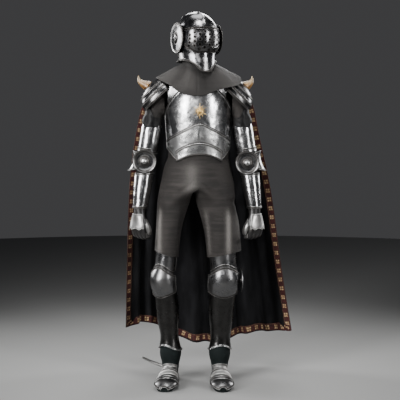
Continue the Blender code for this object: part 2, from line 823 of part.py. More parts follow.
def make_shoulder_flap(side_name, side):
    """The dark leather flap that hangs from the pauldron over the front of the upper arm."""
    lift = PLATE_WALL + LAYER_GAP
    hem = [Edge(0, 1272), Edge(22.5, 1268), Edge(45, 1280), Edge(67.5, 1298), Edge(90, 1318)]
    return plate(
        f"shoulder_flap_{side_name}",
        "black_leather",
        lambda angle, z: on_form(ARM, angle, z, lift, side),
        span(-45, 90, 22.5),
        lambda angle: 1340,
        lambda angle: edge_height(hem, angle),
        3,
        LEATHER_WALL,
        side,
    )


def make_arm_plates(side_name, side):
    """Upper cannon, elbow lame, couter and lower cannon of one arm."""
    lift = PLATE_WALL + LAYER_GAP

    def form(grow):
        return lambda angle, z: on_form(ARM, angle, z, grow, side)

    ring = circle(LIMB_COUNT)
    plate(
        f"upper_cannon_{side_name}",
        "polished_steel",
        form(0.0),
        ring,
        lambda angle: 1302 + 28 * math.sin(math.radians(angle)),
        lambda angle: 1138,
        3,
        PLATE_WALL,
        side,
        closed=True,
    )
    plate(
        f"elbow_lame_{side_name}",
        "polished_steel",
        form(lift),
        span(-22.5, 180, 22.5),
        lambda angle: 1164 + 8 * math.sin(math.radians(angle)),
        lambda angle: 1126,
        2,
        PLATE_WALL,
        side,
    )
    plate(
        f"lower_cannon_{side_name}",
        "polished_steel",
        form(0.0),
        ring,
        lambda angle: 1040,
        lambda angle: 868,
        3,
        PLATE_WALL,
        side,
        closed=True,
    )

    def couter_point(angle, z):
        out = smooth(math.sin(math.radians(angle)), 0.25, 1)
        flare = (15 + 0.14 * (1100 - z) + 10 * ((z - 1100) / 50) ** 2) * out
        return on_form(ARM, angle, z, 2 * lift + flare, side)

    plate(
        f"couter_{side_name}",
        "polished_steel",
        couter_point,
        span(-22.5, 180, 22.5),
        lambda angle: 1100 + 52 * smooth(angle, -60, 80),
        lambda angle: 1100 - 48 * smooth(angle, -60, 80),
        5,
        PLATE_WALL,
        side,
    )


def make_elbow_disc(side_name, side):
    """The round disc in front of the elbow: rolled rim, dished field, boss and a stem behind."""
    profile = [
        Stop(10, 6), Stop(4.5, 18), Stop(1.5, 26), Stop(-0.5, 50), Stop(2.5, 57),
        Stop(0, 60), Stop(-3, 57), Stop(-3, 7), Stop(-5.2, 7),
    ]
    x, z = ELBOW_DISCS[side_name]
    section = between(ARM, "z", z)
    front = section.cy - section.front - 3 * (PLATE_WALL + LAYER_GAP) - 5.2
    return turned(
        f"elbow_disc_{side_name}", "polished_steel", profile, axis_frame(place(side * x, front, z), (0, -1, 0)), 16
    )


def hand_point(side, ring, width, depth, extra=0.0):
    """A point of the hand: width towards the little finger, depth towards the hand's back."""
    turn = math.radians(HAND_TURN)
    w, n = width, depth
    x = ring.cx + w * math.cos(turn) + n * math.sin(turn)
    y = ring.cy + w * math.sin(turn) - n * math.cos(turn)
    return place(side * x, y, ring.z + extra)


def hand_row(side, ring, angles, grow=0.0):
    """A ring round the hand, its back first."""
    row = []
    edge = math.cos(math.radians(25))
    for angle in angles:
        turn = math.radians(angle)
        width = (ring.half_width / edge + grow) * math.cos(turn)
        depth = (ring.half_depth + grow) * math.sin(turn)
        row.append(hand_point(side, ring, width, depth))
    return row


def make_glove(side_name, side):
    """The leather glove: an open cuff, the palm, four curled fingers and a thumb."""
    bm = bmesh.new()
    grid = [[bm.verts.new(point) for point in hand_row(side, ring, HAND_ANGLES)] for ring in HAND]
    count = len(HAND_ANGLES)
    thumb_root = None
    for upper, lower in zip(grid, grid[1:]):
        for i in range(count):
            j = (i + 1) % count
            if upper is grid[2] and i == count - 1:
                thumb_root = (upper[i], lower[i], lower[j], upper[j])
                continue
            bm.faces.new((upper[i], lower[i], lower[j], upper[j]))
    knuckles = grid[-1]
    for finger in FINGERS:
        i = finger.first
        base = (knuckles[i], knuckles[i + 1], knuckles[count - 2 - i], knuckles[count - 1 - i])
        grow_finger(bm, side, base, finger)
    grow_thumb(bm, side, thumb_root)
    bmesh.ops.recalc_face_normals(bm, faces=bm.faces)
    glove = add_object(f"glove_{side_name}", bm, "black_leather")
    return wall(glove, PLATE_WALL, outward=False, even=False)


def grow_finger(bm, side, base, finger):
    """Three curled segments from the knuckles, closed at the tip."""
    last = HAND[-1]
    width = -0.75 * last.half_width + 0.5 * last.half_width * finger.first
    depth, drop, curl = 1.0, 0.0, 0.0
    previous = base
    spans = ((40, 24, 8.6, 9.5), (27, 80, 8.2, 8.6), (20, 138, 7.2, 7.2))
    for length, bend, half_width, half_depth in spans:
        middle = math.radians((curl + bend) / 2)
        depth -= length * finger.length * math.sin(middle)
        drop -= length * finger.length * math.cos(middle)
        curl = bend
        end = math.radians(curl)
        row = []
        for w, n in ((-1, 1), (1, 1), (1, -1), (-1, -1)):
            out = n * half_depth
            place_on_hand = (width + w * half_width, depth + out * math.cos(end), drop - out * math.sin(end))
            row.append(bm.verts.new(hand_point(side, last, *place_on_hand)))
        bridge(bm, previous, row)
        previous = row
    bm.faces.new(previous)


def grow_thumb(bm, side, base):
    """The thumb, from the side of the palm towards the front of the thigh."""
    ring = HAND[3]
    previous = base
    for width, depth, drop, half in ((-50, -6, -8, 10.5), (-56, -16, -34, 9.5), (-54, -24, -52, 7.5)):
        row = []
        for n, z in ((half, half * 0.5), (half * 0.7, -half), (-half * 0.7, -half), (-half, half * 0.5)):
            out = -0.45 * half if z < 0 else 0.45 * half
            row.append(bm.verts.new(hand_point(side, ring, width - out, depth + n, drop + z)))
        bridge(bm, previous, row)
        previous = row
    bm.faces.new(previous)


def bridge(bm, first, second):
    """Quads between two loops of the same length."""
    count = len(first)
    for i in range(count):
        j = (i + 1) % count
        bm.faces.new((first[i], second[i], second[j], first[j]))


def make_gauntlet(side_name, side):
    """The plate over the back of the hand, spreading to a wavy edge at the knuckles."""
    rings = [HandRing(838, 287.6, -23, 31, 24), HAND[2], HAND[3], HandRing(764, 292, -31.2, 44, 18)]
    angles = [148, 134, 117, 90, 63, 46, 25, 8]
    rows = []
    for index, ring in enumerate(rings):
        row = []
        for angle, point in zip(angles, hand_row(side, ring, angles, 1.4 + 0.5 * index)):
            wave = 4.0 * math.cos(math.radians(angle * 8)) if index == 3 else 0.0
            row.append(point + Vector((0, 0, wave * MM)))
        rows.append(row)
    plate = add_object(f"gauntlet_plate_{side_name}", skin(rows, flip=side < 0), "polished_steel")
    return wall(plate, PLATE_WALL)


# Legs

def make_breeches():
    """Mail breeches: one hip wall that forks into two legs, hems lower inside than outside."""
    bm = bmesh.new()
    columns = 8
    for side_name, side in SIDES.items():
        angles = [side * 180.0 * i / columns for i in range(columns + 1)]
        rows = [[torso_place(*on_section(section, a), section.z) for a in angles] for section in HIPS]
        for upper, lower in zip(rows, rows[1:]):
            join_rows(bm, upper, lower, side)
        fork = breech_fork_row()
        previous = rows[-1] + fork
        for z in (905, 860, 800, 730, 640):
            lower = breech_leg_row(THIGHS[side_name], z, side, columns, len(fork))
            join_rows(bm, previous, lower, side, closed=True)
            previous = lower
    bmesh.ops.remove_doubles(bm, verts=bm.verts, dist=0.05 * MM)
    return wall(add_object("mail_breeches", bm, "mail"), MAIL_WALL)


def breech_fork_row():
    """Points of the fork between the seams, back to front, under the body."""
    section = HIPS[-1]
    row = []
    for share in (0.12, 0.34, 0.66, 0.88):
        y = section.back - (section.front + section.back) * share
        drop = math.sin(math.pi * share)
        start = torso_place(section.cx, y, section.z)
        low = place(FORK_X, y, section.z - 20)
        row.append(start * (1 - drop) + low * drop)
    return row


def breech_leg_row(leg, z, side, columns, inner):
    """A full ring of a leg; the outside has the hips' columns and the inside the fork's."""
    section = between(leg, "z", min(z, 925))
    row = []
    for i in range(columns + 1 + inner):
        if i <= columns:
            angle = -20 + 220.0 * i / columns
        else:
            angle = 200 + 140.0 * (i - columns) / (inner + 1)
        x, y = on_section(section, side * angle)
        hem = 17 * math.sin(math.radians(angle)) * (1 - smooth(z, 640, 760))
        row.append(place(x, y, z + hem))
    return row


def join_rows(bm, upper, lower, side, closed=False):
    """Quads between two rows of points, facing out."""
    count = len(upper)
    for i in range(count if closed else count - 1):
        j = (i + 1) % count
        verts = [bm.verts.new(corner) for corner in (upper[i], lower[i], lower[j], upper[j])]
        bm.faces.new(verts if side > 0 else verts[::-1])


def leg_plate(name, finish, side_name, half_turn, top, bottom, steps, grow, bulge=None):
    """A plate on a leg's form, its middle turned to where the knee faces."""
    middle = LEG_TURN[side_name]
    leg = LEGS[side_name]

    def point_at(angle, z):
        extra = bulge(angle, z) if bulge else 0.0
        return on_form(leg, middle + angle, z, grow + extra)

    closed = half_turn >= 180
    angles = [a - 180 for a in circle(LIMB_COUNT)] if closed else span(-half_turn, half_turn, 22.5)
    return plate(name, finish, point_at, angles, top, bottom, steps, PLATE_WALL, closed=closed)


def knee_bulge(angle, z):
    """How far the knee cup stands out of the leg's form."""
    rise = 1 - ((z - 501) / 77) ** 2
    return 17 * max(0.0, rise) * math.cos(math.radians(angle) / 2) ** 1.5


def make_leg_plates(side_name):
    """Cuisse, knee lame, knee cup and greave of one leg."""
    leg_plate(
        f"cuisse_{side_name}", "polished_steel", side_name, 112.5,
        lambda angle: 720, lambda angle: 556, 3, -(PLATE_WALL + LAYER_GAP),
    )
    leg_plate(
        f"knee_lame_{side_name}", "polished_steel", side_name, 90,
        lambda angle: 594 - 40 * smooth(abs(angle), 0, 90),
        lambda angle: 562 - 44 * smooth(abs(angle), 0, 90), 2, 0.2,
    )
    leg_plate(
        f"knee_cup_{side_name}", "polished_steel", side_name, 90,
        lambda angle: 578 - 44 * smooth(abs(angle), 0, 90),
        lambda angle: 424 + 26 * smooth(abs(angle), 0, 90), 5, 2.1, knee_bulge,
    )
    leg_plate(
        f"greave_{side_name}", "dark_steel", side_name, 180,
        lambda angle: 470,
        lambda angle: 158 + 26 * max(0.0, math.cos(math.radians(angle))) ** 2, 5, 0.0,
    )


def make_knee_wing():
    """The dished oval wing on the outer side of the left knee."""
    profile = [
        Stop(7, 8), Stop(6, 20), Stop(1, 44), Stop(-4, 60), Stop(-5.5, 59), Stop(-1, 43), Stop(4, 18), Stop(4, 7),
        Stop(-8.4, 7),
    ]
    middle = LEG_TURN["left"] + 90
    turn = math.radians(middle)
    direction = (math.sin(turn), -math.cos(turn), 0)
    centre = on_form(LEGS["left"], middle, 505, 23)
    return turned("knee_wing_left", "polished_steel", profile, axis_frame(centre, direction), 16)


def foot_point(side_name, across, along, z):
    """A point of a foot: across from its middle line, along from the ankle to the toe."""
    ankle_x, ankle_y = ANKLES[side_name]
    turn = math.radians(FOOT_TURN[side_name])
    x = across * math.cos(turn) + along * math.sin(turn)
    y = across * math.sin(turn) - along * math.cos(turn)
    return place(ankle_x + x, ankle_y + y, max(0.0, z))


def foot_row(side_name, ring, angles, grow=0.0):
    """A ring across the foot, angle 0 at its front or top."""
    lean = math.radians(ring.lean)
    row = []
    for angle in angles:
        turn = math.radians(angle)
        reach = ring.front if math.cos(turn) > 0 else ring.back
        across = (ring.half_width + grow) * math.sin(turn)
        forward = (reach + grow) * math.cos(turn)
        z = ring.z + forward * math.sin(lean)
        row.append(foot_point(side_name, across, ring.along + forward * math.cos(lean), z))
    return row


def foot_between(index, share):
    """A ring between two rings of the foot."""
    low, high = FOOT[index], FOOT[index + 1]
    return FootRing(*(a + (b - a) * share for a, b in zip(low, high)))


def make_boot(side_name):
    """The boot: an open shaft, an instep and a closed toe on a flat sole."""
    rows = [foot_row(side_name, ring, circle(12)) for ring in FOOT]
    bm = skin(rows, closed=True, cap_last=True)
    return wall(add_object(f"boot_{side_name}", bm, "black_leather"), LEATHER_WALL, outward=False)


def make_sabaton(side_name):
    """Two plates over the foot: the instep, and the broad toe with its lames."""
    instep = [foot_row(side_name, foot_between(3, 0.5), span(-60, 60, 30), 0.6)]
    instep += [foot_row(side_name, ring, span(-60, 60, 30), 0.6) for ring in FOOT[4:7]]
    obj = add_object(f"sabaton_instep_{side_name}", skin(instep), "polished_steel")
    wall(obj, PLATE_WALL)
    toe = [foot_row(side_name, foot_between(5, 0.6), span(-90, 90, 30), 2.8)]
    toe += [foot_row(side_name, ring, span(-90, 90, 30), 2.8) for ring in FOOT[6:]]
    tip = FOOT[-1]
    nose = FootRing(tip.along + 7, tip.z - 4, tip.lean, tip.half_width - 16, tip.front - 4, tip.back)
    toe.append(foot_row(side_name, nose, span(-90, 90, 30), 2.8))
    obj = add_object(f"sabaton_toe_{side_name}", skin(toe), "polished_steel")
    wall(obj, PLATE_WALL)


def make_spur():
    """The right spur: a yoke round the heel and a long curved neck."""
    angles = span(90, 270, 30)
    rows = [foot_row("right", foot_between(3, share), angles, 1.0) for share in (0.25, 0.6)]
    spur = add_object("spur_right", skin(rows), "polished_steel")
    apply_modifiers(wall(spur, 3.0))
    path = [(-127, 61, 50), (-152, 92, 46), (-205, 112, 60), (-248, 112, 77), (-281, 106, 96)]
    rings = []
    for index, (x, y, z) in enumerate(path):
        before, after = path[max(index - 1, 0)], path[min(index + 1, len(path) - 1)]
        tangent = (Vector(after) - Vector(before)).normalized()
        level = tangent.cross(Vector((0, 0, 1))).normalized()
        upward = level.cross(tangent)
        radius = 5.5 - 0.6 * index
        ring = []
        for angle in circle(8):
            turn = math.radians(angle)
            ring.append(place(x, y, z) + (level * math.cos(turn) + upward * math.sin(turn)) * radius * MM)
        rings.append(ring)
    bm = skin(rings, closed=True, cap_first=True, cap_last=True)
    bmesh.ops.recalc_face_normals(bm, faces=bm.faces)
    return boolean(spur, add_object("spur_neck", bm, "polished_steel", cutter=True), "UNION")


# Cape

def curve_through(points, count):
    """A smooth curve through points, as count + 1 points."""
    result = []
    for i in range(count + 1):
        t = i / count * (len(points) - 1)
        low = min(int(t), len(points) - 2)
        t -= low
        a, b = points[max(low - 1, 0)], points[low]
        c, d = points[low + 1], points[min(low + 2, len(points) - 1)]
        square = 2 * a - 5 * b + 4 * c - d
        cube = 3 * b - a - 3 * c + d
        result.append(0.5 * (2 * b + (c - a) * t + square * t**2 + cube * t**3))
    return result


def cape_row(row):
    """One level of the cape, its points evenly spaced but for the border's width at each edge."""
    fine = curve_through([Vector(row[k]) for k in range(5)], 200)
    lengths = [0.0]
    for first, second in zip(fine, fine[1:]):
        lengths.append(lengths[-1] + (second - first).length)
    total = lengths[-1]
    inner = span(BORDER, total - BORDER, (total - 2 * BORDER) / (CAPE_COLUMNS - 2))
    points = []
    for reach in [0.0, *inner, total]:
        low = max(i for i in range(200) if lengths[i] <= reach or i == 0)
        share = (reach - lengths[low]) / (lengths[low + 1] - lengths[low])
        point = fine[low].lerp(fine[low + 1], min(1.0, share))
        tangent = (fine[low + 1] - fine[low]).normalized()
        out = Vector((-tangent.y, tangent.x, 0)).normalized()
        part = min(1.0, max(0.0, (reach - BORDER) / (total - 2 * BORDER)))
        wander = part + 0.025 * math.sin(5 * part + 1) + 0.02 * math.sin(11 * part)
        wave = math.sin(2 * math.pi * CAPE_FOLDS * wander)
        depth = row.fold * (0.75 + 0.35 * math.sin(9 * part + 2)) * smooth(part * (1 - part), 0, 0.05)
        points.append(point + out * depth * wave)
    return points


def cape_grid():
    """The cape's points from shoulder to hem, with a level at the border's upper edge."""
    rows = [cape_row(row) for row in CAPE]
    last, hem = rows[-2], rows[-1]
    band = []
    for upper, lower in zip(last, hem):
        drop = (upper - lower).length
        band.append(lower + (upper - lower) * (BORDER / drop))
    return [[place(*point) for point in row] for row in [*rows[:-1], band, hem]]


def make_cape():
    """The cape in one cloth, open in front, and the border along its edges and hem."""
    grid = cape_grid()
    bm = skin(grid)
    bm.normal_update()
    bm.verts.ensure_lookup_table()
    normals = [vert.normal.copy() for vert in bm.verts]
    outward = -1 if normals[len(grid[0]) // 2].y < 0 else 1
    bm.free()
    wall(add_object("cape", skin(grid, flip=outward < 0), "black_velvet"), CLOTH_WALL)
    width = len(grid[0])
    gap = 0.5 * MM * outward
    inner = [[grid[r][c] - normals[r * width + c] * gap for c in range(width)] for r in range(len(grid))]
    border = skin(inner, flip=outward > 0)
    border.faces.ensure_lookup_table()
    per_row = width - 1
    keep = set()
    for index, face in enumerate(border.faces):
        row, column = divmod(index, per_row)
        if row == len(grid) - 2 or column in (0, per_row - 1):
            keep.add(face)
    bmesh.ops.delete(border, geom=[f for f in border.faces if f not in keep], context="FACES")
    wall(add_object("cape_border", border, "red_braid"), PLATE_WALL)


def build_suit():
    """Clears the scene and makes every piece."""
    for obj in list(bpy.data.objects):
        bpy.data.objects.remove(obj)
    for name in (SUIT_NAME, "cutters"):
        collection = bpy.data.collections.new(name)
        bpy.context.scene.collection.children.link(collection)
    make_skull()
    make_visor()
    make_bevor()
    make_neck_guard()
    make_breastplate()
    make_backplate()
    make_belly_plates()
    make_sun_boss()
    make_mantle()
    make_breeches()
    make_knee_wing()
    make_spur()
    make_cape()
    for side_name, side in SIDES.items():
        make_ear_disc(side_name, side)
        make_sleeve(side_name, side)
        make_pauldron(side_name, side)
        make_horn(side_name, side)
        make_shoulder_flap(side_name, side)
        make_arm_plates(side_name, side)
        make_elbow_disc(side_name, side)
        make_glove(side_name, side)
        make_gauntlet(side_name, side)
        make_leg_plates(side_name)
        make_boot(side_name)
        make_sabaton(side_name)


build_suit()
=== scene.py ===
"""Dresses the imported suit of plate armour: plates, rims, rivets, mail, leather, horn and velvet."""

import json
import logging
import math
from collections.abc import Callable, Iterable, Sequence
from dataclasses import dataclass, field, replace
from enum import Enum, auto

import bmesh
import bpy
import numpy as np
from mathutils import Matrix, Vector
from mathutils.bvhtree import BVHTree
from mathutils.kdtree import KDTree

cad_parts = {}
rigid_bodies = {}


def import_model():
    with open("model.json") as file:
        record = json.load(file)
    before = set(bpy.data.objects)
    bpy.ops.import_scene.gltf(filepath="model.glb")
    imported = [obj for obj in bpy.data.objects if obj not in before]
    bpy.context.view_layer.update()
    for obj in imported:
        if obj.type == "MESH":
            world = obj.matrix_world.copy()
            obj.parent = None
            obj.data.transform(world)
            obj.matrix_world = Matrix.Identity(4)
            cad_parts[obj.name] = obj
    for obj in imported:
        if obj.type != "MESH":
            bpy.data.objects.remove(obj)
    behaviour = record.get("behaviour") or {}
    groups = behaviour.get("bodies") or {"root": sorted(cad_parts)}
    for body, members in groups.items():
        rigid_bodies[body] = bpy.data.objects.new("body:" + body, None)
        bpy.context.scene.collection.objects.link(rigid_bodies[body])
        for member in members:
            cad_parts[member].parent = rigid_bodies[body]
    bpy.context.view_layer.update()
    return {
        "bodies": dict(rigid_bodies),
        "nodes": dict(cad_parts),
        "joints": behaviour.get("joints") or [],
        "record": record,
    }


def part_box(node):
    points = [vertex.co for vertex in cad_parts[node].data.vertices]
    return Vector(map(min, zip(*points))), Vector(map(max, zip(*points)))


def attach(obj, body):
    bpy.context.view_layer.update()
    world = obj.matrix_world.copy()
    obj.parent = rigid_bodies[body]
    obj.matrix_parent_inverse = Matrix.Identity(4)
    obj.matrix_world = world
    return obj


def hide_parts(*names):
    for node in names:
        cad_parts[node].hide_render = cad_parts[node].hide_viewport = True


LOG = logging.getLogger("suit")
MM = 0.001
SOLE_Z = -1.48
WALL_EDGE = 3.2 * MM
RIM_REACH = 22 * MM
HARD_EDGE = math.radians(60)
SIDES = {"left": 1, "right": -1}

Colour = tuple[float, float, float]
Point = tuple[float, float, float]


# Shader building

class Signal:
    """A shader socket that Python arithmetic can be used on."""

    def __init__(self, shader: "Shader", socket: bpy.types.NodeSocket) -> None:
        """Wraps a socket of a shader."""
        self.shader = shader
        self.socket = socket

    def maths(self, operation: str, *values: "Signal | float") -> "Signal":
        """Runs a Math node on values.

        Args:
            operation: the Math node's operation.
            values: its inputs, in order.

        Returns:
            The node's result.
        """
        node = self.shader.node("ShaderNodeMath", {"operation": operation}, dict(enumerate(values)))
        return Signal(self.shader, node.outputs[0])

    def __add__(self, other: "Signal | float") -> "Signal":
        """Adds."""
        return self.maths("ADD", self, other)

    def __sub__(self, other: "Signal | float") -> "Signal":
        """Subtracts."""
        return self.maths("SUBTRACT", self, other)

    def __rsub__(self, other: float) -> "Signal":
        """Subtracts from a number."""
        return self.maths("SUBTRACT", other, self)

    def __mul__(self, other: "Signal | float") -> "Signal":
        """Multiplies."""
        return self.maths("MULTIPLY", self, other)

    def __truediv__(self, other: "Signal | float") -> "Signal":
        """Divides."""
        return self.maths("DIVIDE", self, other)

    def __pow__(self, other: float) -> "Signal":
        """Raises to a power."""
        return self.maths("POWER", self, other)

    def __abs__(self) -> "Signal":
        """Drops the sign."""
        return self.maths("ABSOLUTE", self)

    __radd__ = __add__
    __rmul__ = __mul__

    def below(self, limit: "Signal | float") -> "Signal":
        """1 where the value is below a limit."""
        return self.maths("LESS_THAN", self, limit)

    def fract(self) -> "Signal":
        """The part after the decimal point."""
        return self.maths("FRACT", self)

    def highest(self, other: "Signal | float") -> "Signal":
        """The greater of two values."""
        return self.maths("MAXIMUM", self, other)

    def lowest(self, other: "Signal | float") -> "Signal":
        """The lesser of two values."""
        return self.maths("MINIMUM", self, other)

    def ramp(self, low: float, high: float, start: float = 0.0, end: float = 1.0) -> "Signal":
        """Fades smoothly from start to end as the value goes from low to high.

        Args:
            low: value where the fade starts.
            high: value where it ends.
            start: result at low.
            end: result at high.

        Returns:
            The faded value.
        """
        inputs = {0: self, 1: low, 2: high, 3: start, 4: end}
        node = self.shader.node("ShaderNodeMapRange", {"interpolation_type": "SMOOTHSTEP"}, inputs)
        return Signal(self.shader, node.outputs[0])


class Shader:
    """One material with a Principled shader, built from Python expressions."""

    def __init__(self, name: str, constants: dict[str, object] | None = None) -> None:
        """Makes the material.

        Args:
            name: the material's name.
            constants: values set straight on the shader's own sockets.
        """
        self.material = bpy.data.materials.new(name)
        self.material.use_nodes = True
        self.tree = self.material.node_tree
        self.surface = self.tree.nodes["Principled BSDF"]
        for key, value in (constants or {}).items():
            self.surface.inputs[key].default_value = value
        self.place = Signal(self, self.node("ShaderNodeTexCoord").outputs["Object"])

    def node(
        self,
        kind: str,
        settings: dict[str, object] | None = None,
        inputs: dict[str | int, object] | None = None,
    ) -> bpy.types.Node:
        """Adds a node.

        Args:
            kind: the node's type.
            settings: its properties, set first.
            inputs: values or signals of its sockets.

        Returns:
            The node.
        """
        made = self.tree.nodes.new(kind)
        for key, value in (settings or {}).items():
            setattr(made, key, value)
        for key, value in (inputs or {}).items():
            if isinstance(value, Signal):
                self.tree.links.new(value.socket, made.inputs[key])
            else:
                made.inputs[key].default_value = value
        return made

    def noise(
        self, scale: float, detail: float = 2.0, stretch: Point | None = None, rough: float = 0.5
    ) -> Signal:
        """Noise on object coordinates.

        Args:
            scale: features for each metre.
            detail: octaves.
            stretch: scale of each axis before the noise.
            rough: strength of the finer octaves.

        Returns:
            A value round 0.5.
        """
        place = self.place
        if stretch:
            moved = self.node("ShaderNodeMapping", {}, {"Vector": self.place, "Scale": stretch})
            place = Signal(self, moved.outputs[0])
        inputs = {"Vector": place, "Scale": scale, "Detail": detail, "Roughness": rough}
        return Signal(self, self.node("ShaderNodeTexNoise", {}, inputs).outputs[0])

    def attribute(self, name: str) -> Signal:
        """A value stored on the mesh."""
        return Signal(self, self.node("ShaderNodeAttribute", {"attribute_name": name}).outputs["Fac"])

    def uv(self) -> tuple[Signal, Signal]:
        """The two values of the piece's own UV map."""
        place = Signal(self, self.node("ShaderNodeUVMap").outputs[0])
        split = self.node("ShaderNodeSeparateXYZ", {}, {0: place})
        return Signal(self, split.outputs[0]), Signal(self, split.outputs[1])

    def mix(self, factor: Signal, first: "Colour | Signal", second: "Colour | Signal") -> Signal:
        """Mixes two colours.

        Args:
            factor: 0 for the first and 1 for the second.
            first: colour at 0.
            second: colour at 1.

        Returns:
            The mixed colour.
        """
        inputs: dict[str | int, object] = {0: factor}
        for index, value in ((6, first), (7, second)):
            inputs[index] = value if isinstance(value, Signal) else (*value, 1.0)
        return Signal(self, self.node("ShaderNodeMix", {"data_type": "RGBA"}, inputs).outputs[2])

    def finish(
        self,
        colour: Signal,
        roughness: Signal | None = None,
        metallic: Signal | None = None,
        bumps: Sequence[tuple[Signal, float]] = (),
    ) -> bpy.types.Material:
        """Links what varies to the shader.

        Args:
            colour: base colour.
            roughness: roughness, where it varies.
            metallic: metallic, where it varies.
            bumps: heights and their size in metres, summed.

        Returns:
            The finished material.
        """
        self.tree.links.new(colour.socket, self.surface.inputs["Base Color"])
        if roughness:
            self.tree.links.new(roughness.socket, self.surface.inputs["Roughness"])
        if metallic:
            self.tree.links.new(metallic.socket, self.surface.inputs["Metallic"])
        total = None
        for height, size in bumps:
            total = height * (size / MM) if total is None else total + height * (size / MM)
        if total:
            bump = self.node("ShaderNodeBump", {}, {"Height": total, "Distance": MM, "Strength": 1.0})
            self.tree.links.new(bump.outputs[0], self.surface.inputs["Normal"])
        return self.material


# Finishes

@dataclass(frozen=True)
class Steel:
    """Hand-polished plate with dents, a blotchy bloom, a darker haze near its rims, a painted shade line along
    its rims and beside other plates' edges, and rims, lines and rivets painted bright.
    """

    name: str
    tone: Colour = (0.50, 0.50, 0.505)
    bloom: Colour = (0.17, 0.165, 0.16)
    amount: float = 0.55
    roughness: float = 0.2
    dents: float = 1.0
    # Strength of the painted shade line along the rims and beside other plates' edges, standing for the shadow
    # of the plate steps.
    edge_shade: float = 0.95

    def material(self) -> bpy.types.Material:
        """Builds the material."""
        s = Shader(self.name, {"Metallic": 1.0})
        wide = s.noise(11, 2)
        blotch = s.noise(38, 3, rough=0.5)
        pits = s.noise(420, 2)
        scratch = s.noise(60, 3, stretch=(1.0, 1.0, 9.0))
        rim = s.attribute("rim")
        worn = s.attribute("worn")
        bloom = (blotch * 0.6 + wide * 0.5).ramp(0.42, 0.74) * self.amount
        # Painted shade: a near-black line a few millimetres inside each rim and groove, and beside each edge
        # of a plate that lies on this one.
        line = rim.ramp(0.05, 0.13) * (1 - rim.ramp(0.25, 0.5)) * self.edge_shade
        haze = (1 - rim.ramp(0.2, 0.85)) * wide * 0.5
        dirt = (bloom + haze).lowest(1.0)
        # The worn value brightens the tone. On rims, lines, rivets and disc rims and bosses this is rubbing
        # wear and painted highlight. On the rear of each sabaton toe it is painted highlight.
        plain = s.mix(dirt, s.mix(worn, self.tone, (0.78, 0.775, 0.76)), self.bloom)
        colour = s.mix(line, plain, (0.035, 0.032, 0.03))
        rough = dirt * 0.22 + line * 0.2 + worn * 0.14 + scratch * 0.12 + (self.roughness - 0.06)
        dents = s.noise(26, 1) * (2.2 * MM * self.dents)
        return s.finish(colour, rough, None, [(dents / MM, MM), (blotch, 0.35 * MM), (pits, 0.012 * MM)])


@dataclass(frozen=True)
class Mail:
    """Fine riveted rings, four in each, on a map in metres."""

    name: str
    tone: Colour = (0.068, 0.059, 0.054)
    gap: Colour = (0.008, 0.007, 0.0065)
    across: float = 6.6 * MM
    down: float = 5.4 * MM

    def rings(self, u: Signal, v: Signal, shift: float) -> Signal:
        """Height of one lattice of rings.

        Args:
            u: across, in metres.
            v: down, in metres.
            shift: offset of the lattice, as a share of the pitch.

        Returns:
            1 on a ring's wire and 0 off it.
        """
        a = (u / self.across + shift).fract() - 0.5
        b = (v / self.down + shift).fract() - 0.5
        reach = (a * a + b * b) ** 0.5
        return abs(reach - 0.38).ramp(0.02, 0.13, 1.0, 0.0) * (1.0 - b * 0.5)

    def material(self) -> bpy.types.Material:
        """Builds the material."""
        s = Shader(self.name, {"Specular IOR Level": 0.4})
        u, v = s.uv()
        wire = self.rings(u, v, 0.0).highest(self.rings(u, v, 0.5) * 0.8)
        wide = s.noise(9, 3) * 0.5 + s.noise(75, 3, stretch=(0.1, 0.1, 1.0)) * 0.5
        # Painted highlight: this value lifts the rings towards a pale colour, where plates under them would
        # shine through and in sheen bands on the mantle.
        painted_light = s.attribute("painted_light")
        tone = s.mix(wide.ramp(0.4, 0.62), self.tone, tuple(c * 0.4 for c in self.tone))
        shine = s.mix(painted_light, tone, (0.52, 0.49, 0.46))
        colour = s.mix((wire * 0.9 + painted_light * 0.25).lowest(1.0), self.gap, shine)
        return s.finish(colour, 0.76 - wire * 0.2, wire * 0.4 + 0.15, [(wire, 0.8 * MM)])


@dataclass(frozen=True)
class Velvet:
    """Black pile with a soft sheen and a crushed nap."""

    name: str

    def material(self) -> bpy.types.Material:
        """Builds the material."""
        constants = {"Sheen Weight": 0.07, "Sheen Roughness": 0.35, "Specular IOR Level": 0.12}
        s = Shader(self.name, {**constants, "Sheen Tint": (0.4, 0.4, 0.42, 1.0)})
        nap = s.noise(16, 4, stretch=(1.0, 1.0, 0.35), rough=0.6)
        pile = s.noise(900, 1)
        colour = s.mix(nap.ramp(0.38, 0.66), (0.003, 0.003, 0.0035), (0.009, 0.009, 0.010))
        return s.finish(colour, nap * 0.2 + 0.78, None, [(nap, 1.2 * MM), (pile, 0.3 * MM)])


@dataclass(frozen=True)
class Braid:
    """Dark red woven band with a small gold motif of four squares at even steps."""

    name: str
    pitch: float = 47.0 * MM
    middle: float = 18.0 * MM
    square: float = 4.4 * MM
    thread: float = 1.6 * MM

    def material(self) -> bpy.types.Material:
        """Builds the material."""
        s = Shader(self.name, {"Specular IOR Level": 0.3})
        u, v = s.uv()
        along = abs(((u / self.pitch).fract() - 0.5) * self.pitch)
        across = abs(v - self.middle)
        offset = self.square + 1.3 * MM
        dab = abs(along - offset).highest(abs(across - offset)).below(self.square)
        edge = abs(across - 15.5 * MM).below(0.9 * MM)
        worn = s.noise(140, 3)
        weave = abs((u / self.thread).fract() - 0.5)
        ground = s.mix(worn.ramp(0.35, 0.7), (0.055, 0.009, 0.008), (0.016, 0.005, 0.005))
        gold = s.mix(worn.ramp(0.4, 0.62), (0.50, 0.37, 0.21), (0.22, 0.13, 0.06))
        colour = s.mix(dab.highest(edge * 0.25), ground, gold)
        return s.finish(colour, 0.75 - dab * 0.3, dab * 0.35, [(weave + dab, 0.35 * MM)])


